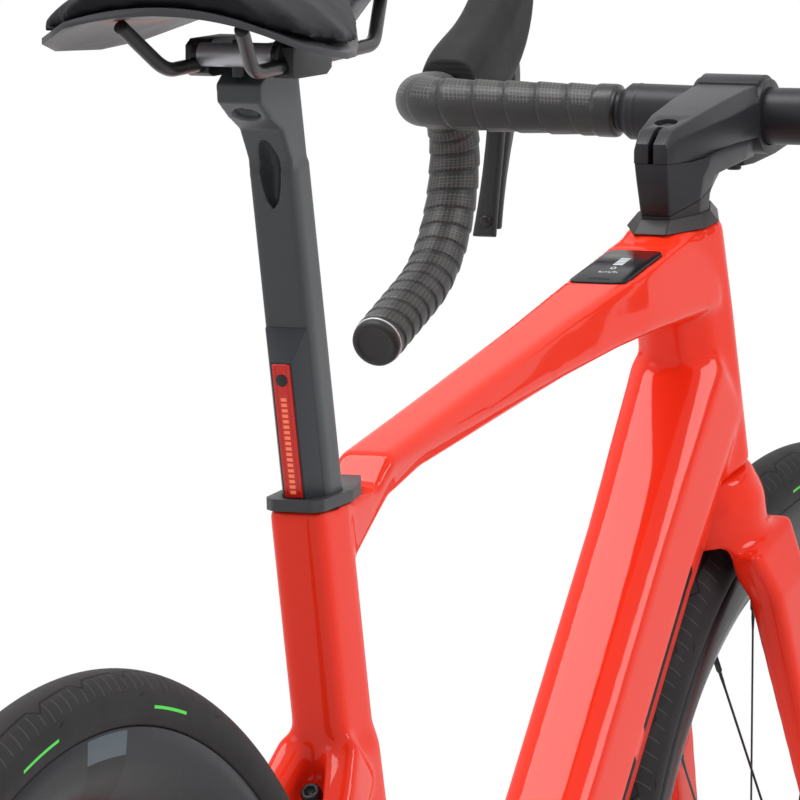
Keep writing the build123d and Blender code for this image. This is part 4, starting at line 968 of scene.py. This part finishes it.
axle_steel = cast_alloy("axle_black", (0.035, 0.035, 0.037))
caliper_black = cast_alloy("caliper_forging", (0.026, 0.026, 0.028), 500)
for end, centre, body in (("front", FRONT_AXLE, "steering"), ("rear", REAR_AXLE, "frame")):
    machined(end + "_disc", end + "_rotor", 0.0002, end + "_wheel", "rotor_steel",
             ground_steel(end + "_disc_steel", centre, 0.3, HOLE_ROWS), 34, 1)
    machined(end + "_caliper", end + "_brake_caliper", 0.0007, body, "black_alloy", caliper_black)
    machined(end + "_thru_axle", end + "_axle", 0.0005, body, "black_alloy", axle_steel)

# ---- Drivetrain. Forged crank arms on a splined spindle, a machined chainring, a cassette and rear
# derailleur, and a bush roller chain whose waisted plates are pinned together.

CHAIN_AT = -43.5
LINK = 12.7
SPROCKET_R, CHAINRING_R, PULLEY_R = 48.65, 97.1, 24.5
GUIDE_AT = (18.0, 250.0)
CAGE_END = 0.0262
PLATE_R, WAIST = 4.1, 3.0
ROLLER_R, ROLLER_HALF = 3.7, 1.3
RIVET_R, RIVET_HALF = 1.7, 2.7
INNER_PLATES, OUTER_PLATES = (1.35, 1.98), (2.04, 2.62)

add("cranks", moulded(["crank_arms"], 0.0013, 0, 4, 45000), "crankset", "black_satin",
    satin_black("crank_forging", (0.024, 0.024, 0.026), 0.32), "crank_arms")
machined("chainring_teeth", "chainring", 0.0003, "crankset", "black_alloy",
         cast_alloy("chainring_black", (0.03, 0.03, 0.032)), 34, 1)
machined("cassette_cogs", "cassette", 0.00025, "rear_wheel", "sprocket_steel",
         ground_steel("cassette_steel", REAR_AXLE, 0.2, ()), 34, 1)
machined("derailleur", "rear_derailleur", 0.0006, "frame", "black_alloy",
         cast_alloy("derailleur_black", (0.028, 0.028, 0.031)))
machined("pulleys", "jockey_wheels", 0.0003, "frame", "black_plastic", plug_black, 34, 1)
for side in ("left", "right"):
    grip = cast_alloy(side + "_pedal_cast", (0.03, 0.03, 0.032), 260)
    machined(side + "_platform", side + "_pedal", 0.0012, side + "_pedal", "pedal_body", grip)


def chain_loop():
    """The chain's pitch line in side view: common tangents, whose normal n has n . d = (ra - rb) / |d| for
    the centres' difference d, joined by arcs round the wheels. The guide pulley turns the other way, so
    its radius is negative."""
    low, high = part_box("jockey_wheels")
    tension = (high.x - CAGE_END, 0, low.z + CAGE_END)
    centres = [(np.array(place) - GROUND)[[0, 2]] * 1000
               for place in (REAR_AXLE, joints["crank_spin"], tension)]
    wheels = list(zip([*centres, np.array(GUIDE_AT)], (SPROCKET_R, CHAINRING_R, PULLEY_R, -PULLEY_R)))
    normals = []
    for (a, ra), (b, rb) in zip(wheels, wheels[1:] + wheels[:1]):
        ahead = unit(b - a)
        lean = (ra - rb) / np.linalg.norm(b - a)
        normals.append(lean * ahead + math.sqrt(1 - lean**2) * np.array([-ahead[1], ahead[0]]))
    line = []
    for k, (centre, radius) in enumerate(wheels):
        start, stop = (math.atan2(n[1], n[0]) for n in (normals[k - 1], normals[k]))
        sweep = (stop - start) % (2 * math.pi) - (2 * math.pi if radius > 0 else 0)
        turn = start + np.linspace(0, 1, 60) * sweep
        line.append(centre + on_circle(radius, turn))
    line = np.concatenate(line + [line[0][:1]])
    length = lengths(line)
    count = 2 * round(length[-1] / LINK / 2)
    return on_line(np.arange(count + 1) * length[-1] / count, length, line)


def slabs(outlines, low, high):
    """Flat plates: each outline at two distances across the bike, with two faces and its sides."""
    count, size = outlines.shape[:2]
    points = np.stack([np.insert(outlines, 1, side, 2) for side in (low, high)], 1).reshape(-1, 3)
    k = np.arange(size)
    sides = np.stack([k, (k + 1) % size, (k + 1) % size + size, k + size], -1)
    base = np.arange(count)[:, None, None] * 2 * size
    ends = np.stack([k[::-1], k + size])
    faces = (sides + base).reshape(-1, 4).tolist() + (ends + base).reshape(-1, size).tolist()
    mesh = bpy.data.meshes.new("slabs")
    mesh.from_pydata((GROUND + points / 1000).tolist(), [], faces)
    return facing_out(mesh)


pins = chain_loop()
ahead = unit(np.diff(pins, axis=0))
upward = np.stack([-ahead[:, 1], ahead[:, 0]], -1)
cap = on_circle(PLATE_R, np.radians(np.linspace(-78, 78, 7)))
plate = np.concatenate([cap + [LINK, 0], [[LINK / 2, WAIST]], -cap, [[LINK / 2, -WAIST]]])
links = pins[:-1, None] + plate[None, :, :1] * ahead[:, None] + plate[None, :, 1:] * upward[:, None]
chain_parts = [slabs(pins[:-1, None] + on_circle(radius, full_turn(12)), CHAIN_AT - half, CHAIN_AT + half)
               for radius, half in ((ROLLER_R, ROLLER_HALF), (RIVET_R, RIVET_HALF))]
for row, (low, high) in ((links[0::2], INNER_PLATES), (links[1::2], OUTER_PLATES)):
    chain_parts.append(slabs(row, CHAIN_AT + low, CHAIN_AT + high))
    chain_parts.append(slabs(row, CHAIN_AT - high, CHAIN_AT - low))
chain_mesh = joined(chain_parts)
chain_mesh.set_sharp_from_angle(angle=math.radians(34))
plated = Finish("chain_steel", (0.24, 0.24, 0.25), 0.35, metallic=1.0)
plated.textured((0.28, 0.5, 200, 3), ((0.12, 0.12, 0.125), 120, 3), (600, 2, 0.00005))
add("chain_links", chain_mesh, "frame", "chain_steel", plated.material, "chain")

# ---- Floor, light and camera. A pale round floor, a white surround and three large soft lamps.

FLOOR_R, FLOOR_STEPS = 6.0, 96
FADE_FROM, FADE_OVER = 1000.0, 1500.0
SURROUND = 0.50
CAMERA_AT = Vector((-3.57362, -1.51822, 0.21253))
LOOK = Vector((0.92202, 0.37172, -0.10819))
LENS = 365.4


def shown_white(tree, lit, white, share=1.0):
    """A lit shader with a share of plain white for rays straight from the camera or off a mirror."""
    rays = tree.node("ShaderNodeLightPath").socket.node.outputs
    seen = Signal(tree, rays["Is Camera Ray"]).at_least(Signal(tree, rays["Is Glossy Ray"]))
    return tree.node("ShaderNodeMixShader", {}, {0: seen * share, 1: lit, 2: white})


world = bpy.data.worlds.new("studio")
bpy.context.scene.world = world
world.use_nodes = True
sky = Tree(world.node_tree)
dim, bright = (sky.node("ShaderNodeBackground", {}, {"Color": (1, 1, 1, 1), "Strength": strength})
               for strength in (SURROUND, 1.0))
sky.feed(sky.nodes["World Output"].inputs["Surface"], shown_white(sky, dim, bright))

rim = on_circle(FLOOR_R, full_turn(FLOOR_STEPS))
disc = bpy.data.meshes.new("floor")
disc.from_pydata([(x, y, GROUND[2]) for x, y in rim.tolist()], [], [list(range(FLOOR_STEPS))])
floor = placed("floor", disc)
paper = Finish("floor", (0.86, 0.86, 0.86), 0.9)
x, y, _ = paper.axes()
away = (((x - 500.0) ** 2 + y * y) ** 0.5 - FADE_FROM) / FADE_OVER
lit_floor = shown_white(paper, Signal(paper, paper.shader.outputs[0]), paper.node("ShaderNodeEmission"),
                        away.at_least(0.0).at_most(1.0))
paper.feed(paper.nodes["Material Output"].inputs["Surface"], lit_floor)
disc.materials.append(paper.material)

for name, place, aim, width, height, power in (
    ("key", (0.7, -2.7, 2.0), (0.3, 0, -0.3), 1.3, 1.8, 62),
    ("fill", (-2.2, 3.0, 1.2), (0.3, 0, -0.4), 2.0, 2.0, 22),
    ("top", (0.1, 1.1, 2.9), (0.3, 0, -0.3), 1.5, 2.6, 96),
):
    lamp = bpy.data.lights.new(name, "AREA")
    lamp.shape = "RECTANGLE"
    lamp.size, lamp.size_y, lamp.energy = width, height, power
    holder = placed(name, lamp)
    holder.location = place
    holder.rotation_euler = (Vector(aim) - Vector(place)).to_track_quat("-Z", "Y").to_euler()

camera = bpy.data.cameras.new("camera")
camera.lens = LENS
camera.clip_end = 50
eye = placed("camera", camera)
eye.location = CAMERA_AT
eye.rotation_euler = LOOK.to_track_quat("-Z", "Y").to_euler()
bpy.context.scene.camera = eye
bpy.context.scene.view_settings.view_transform = "Standard"
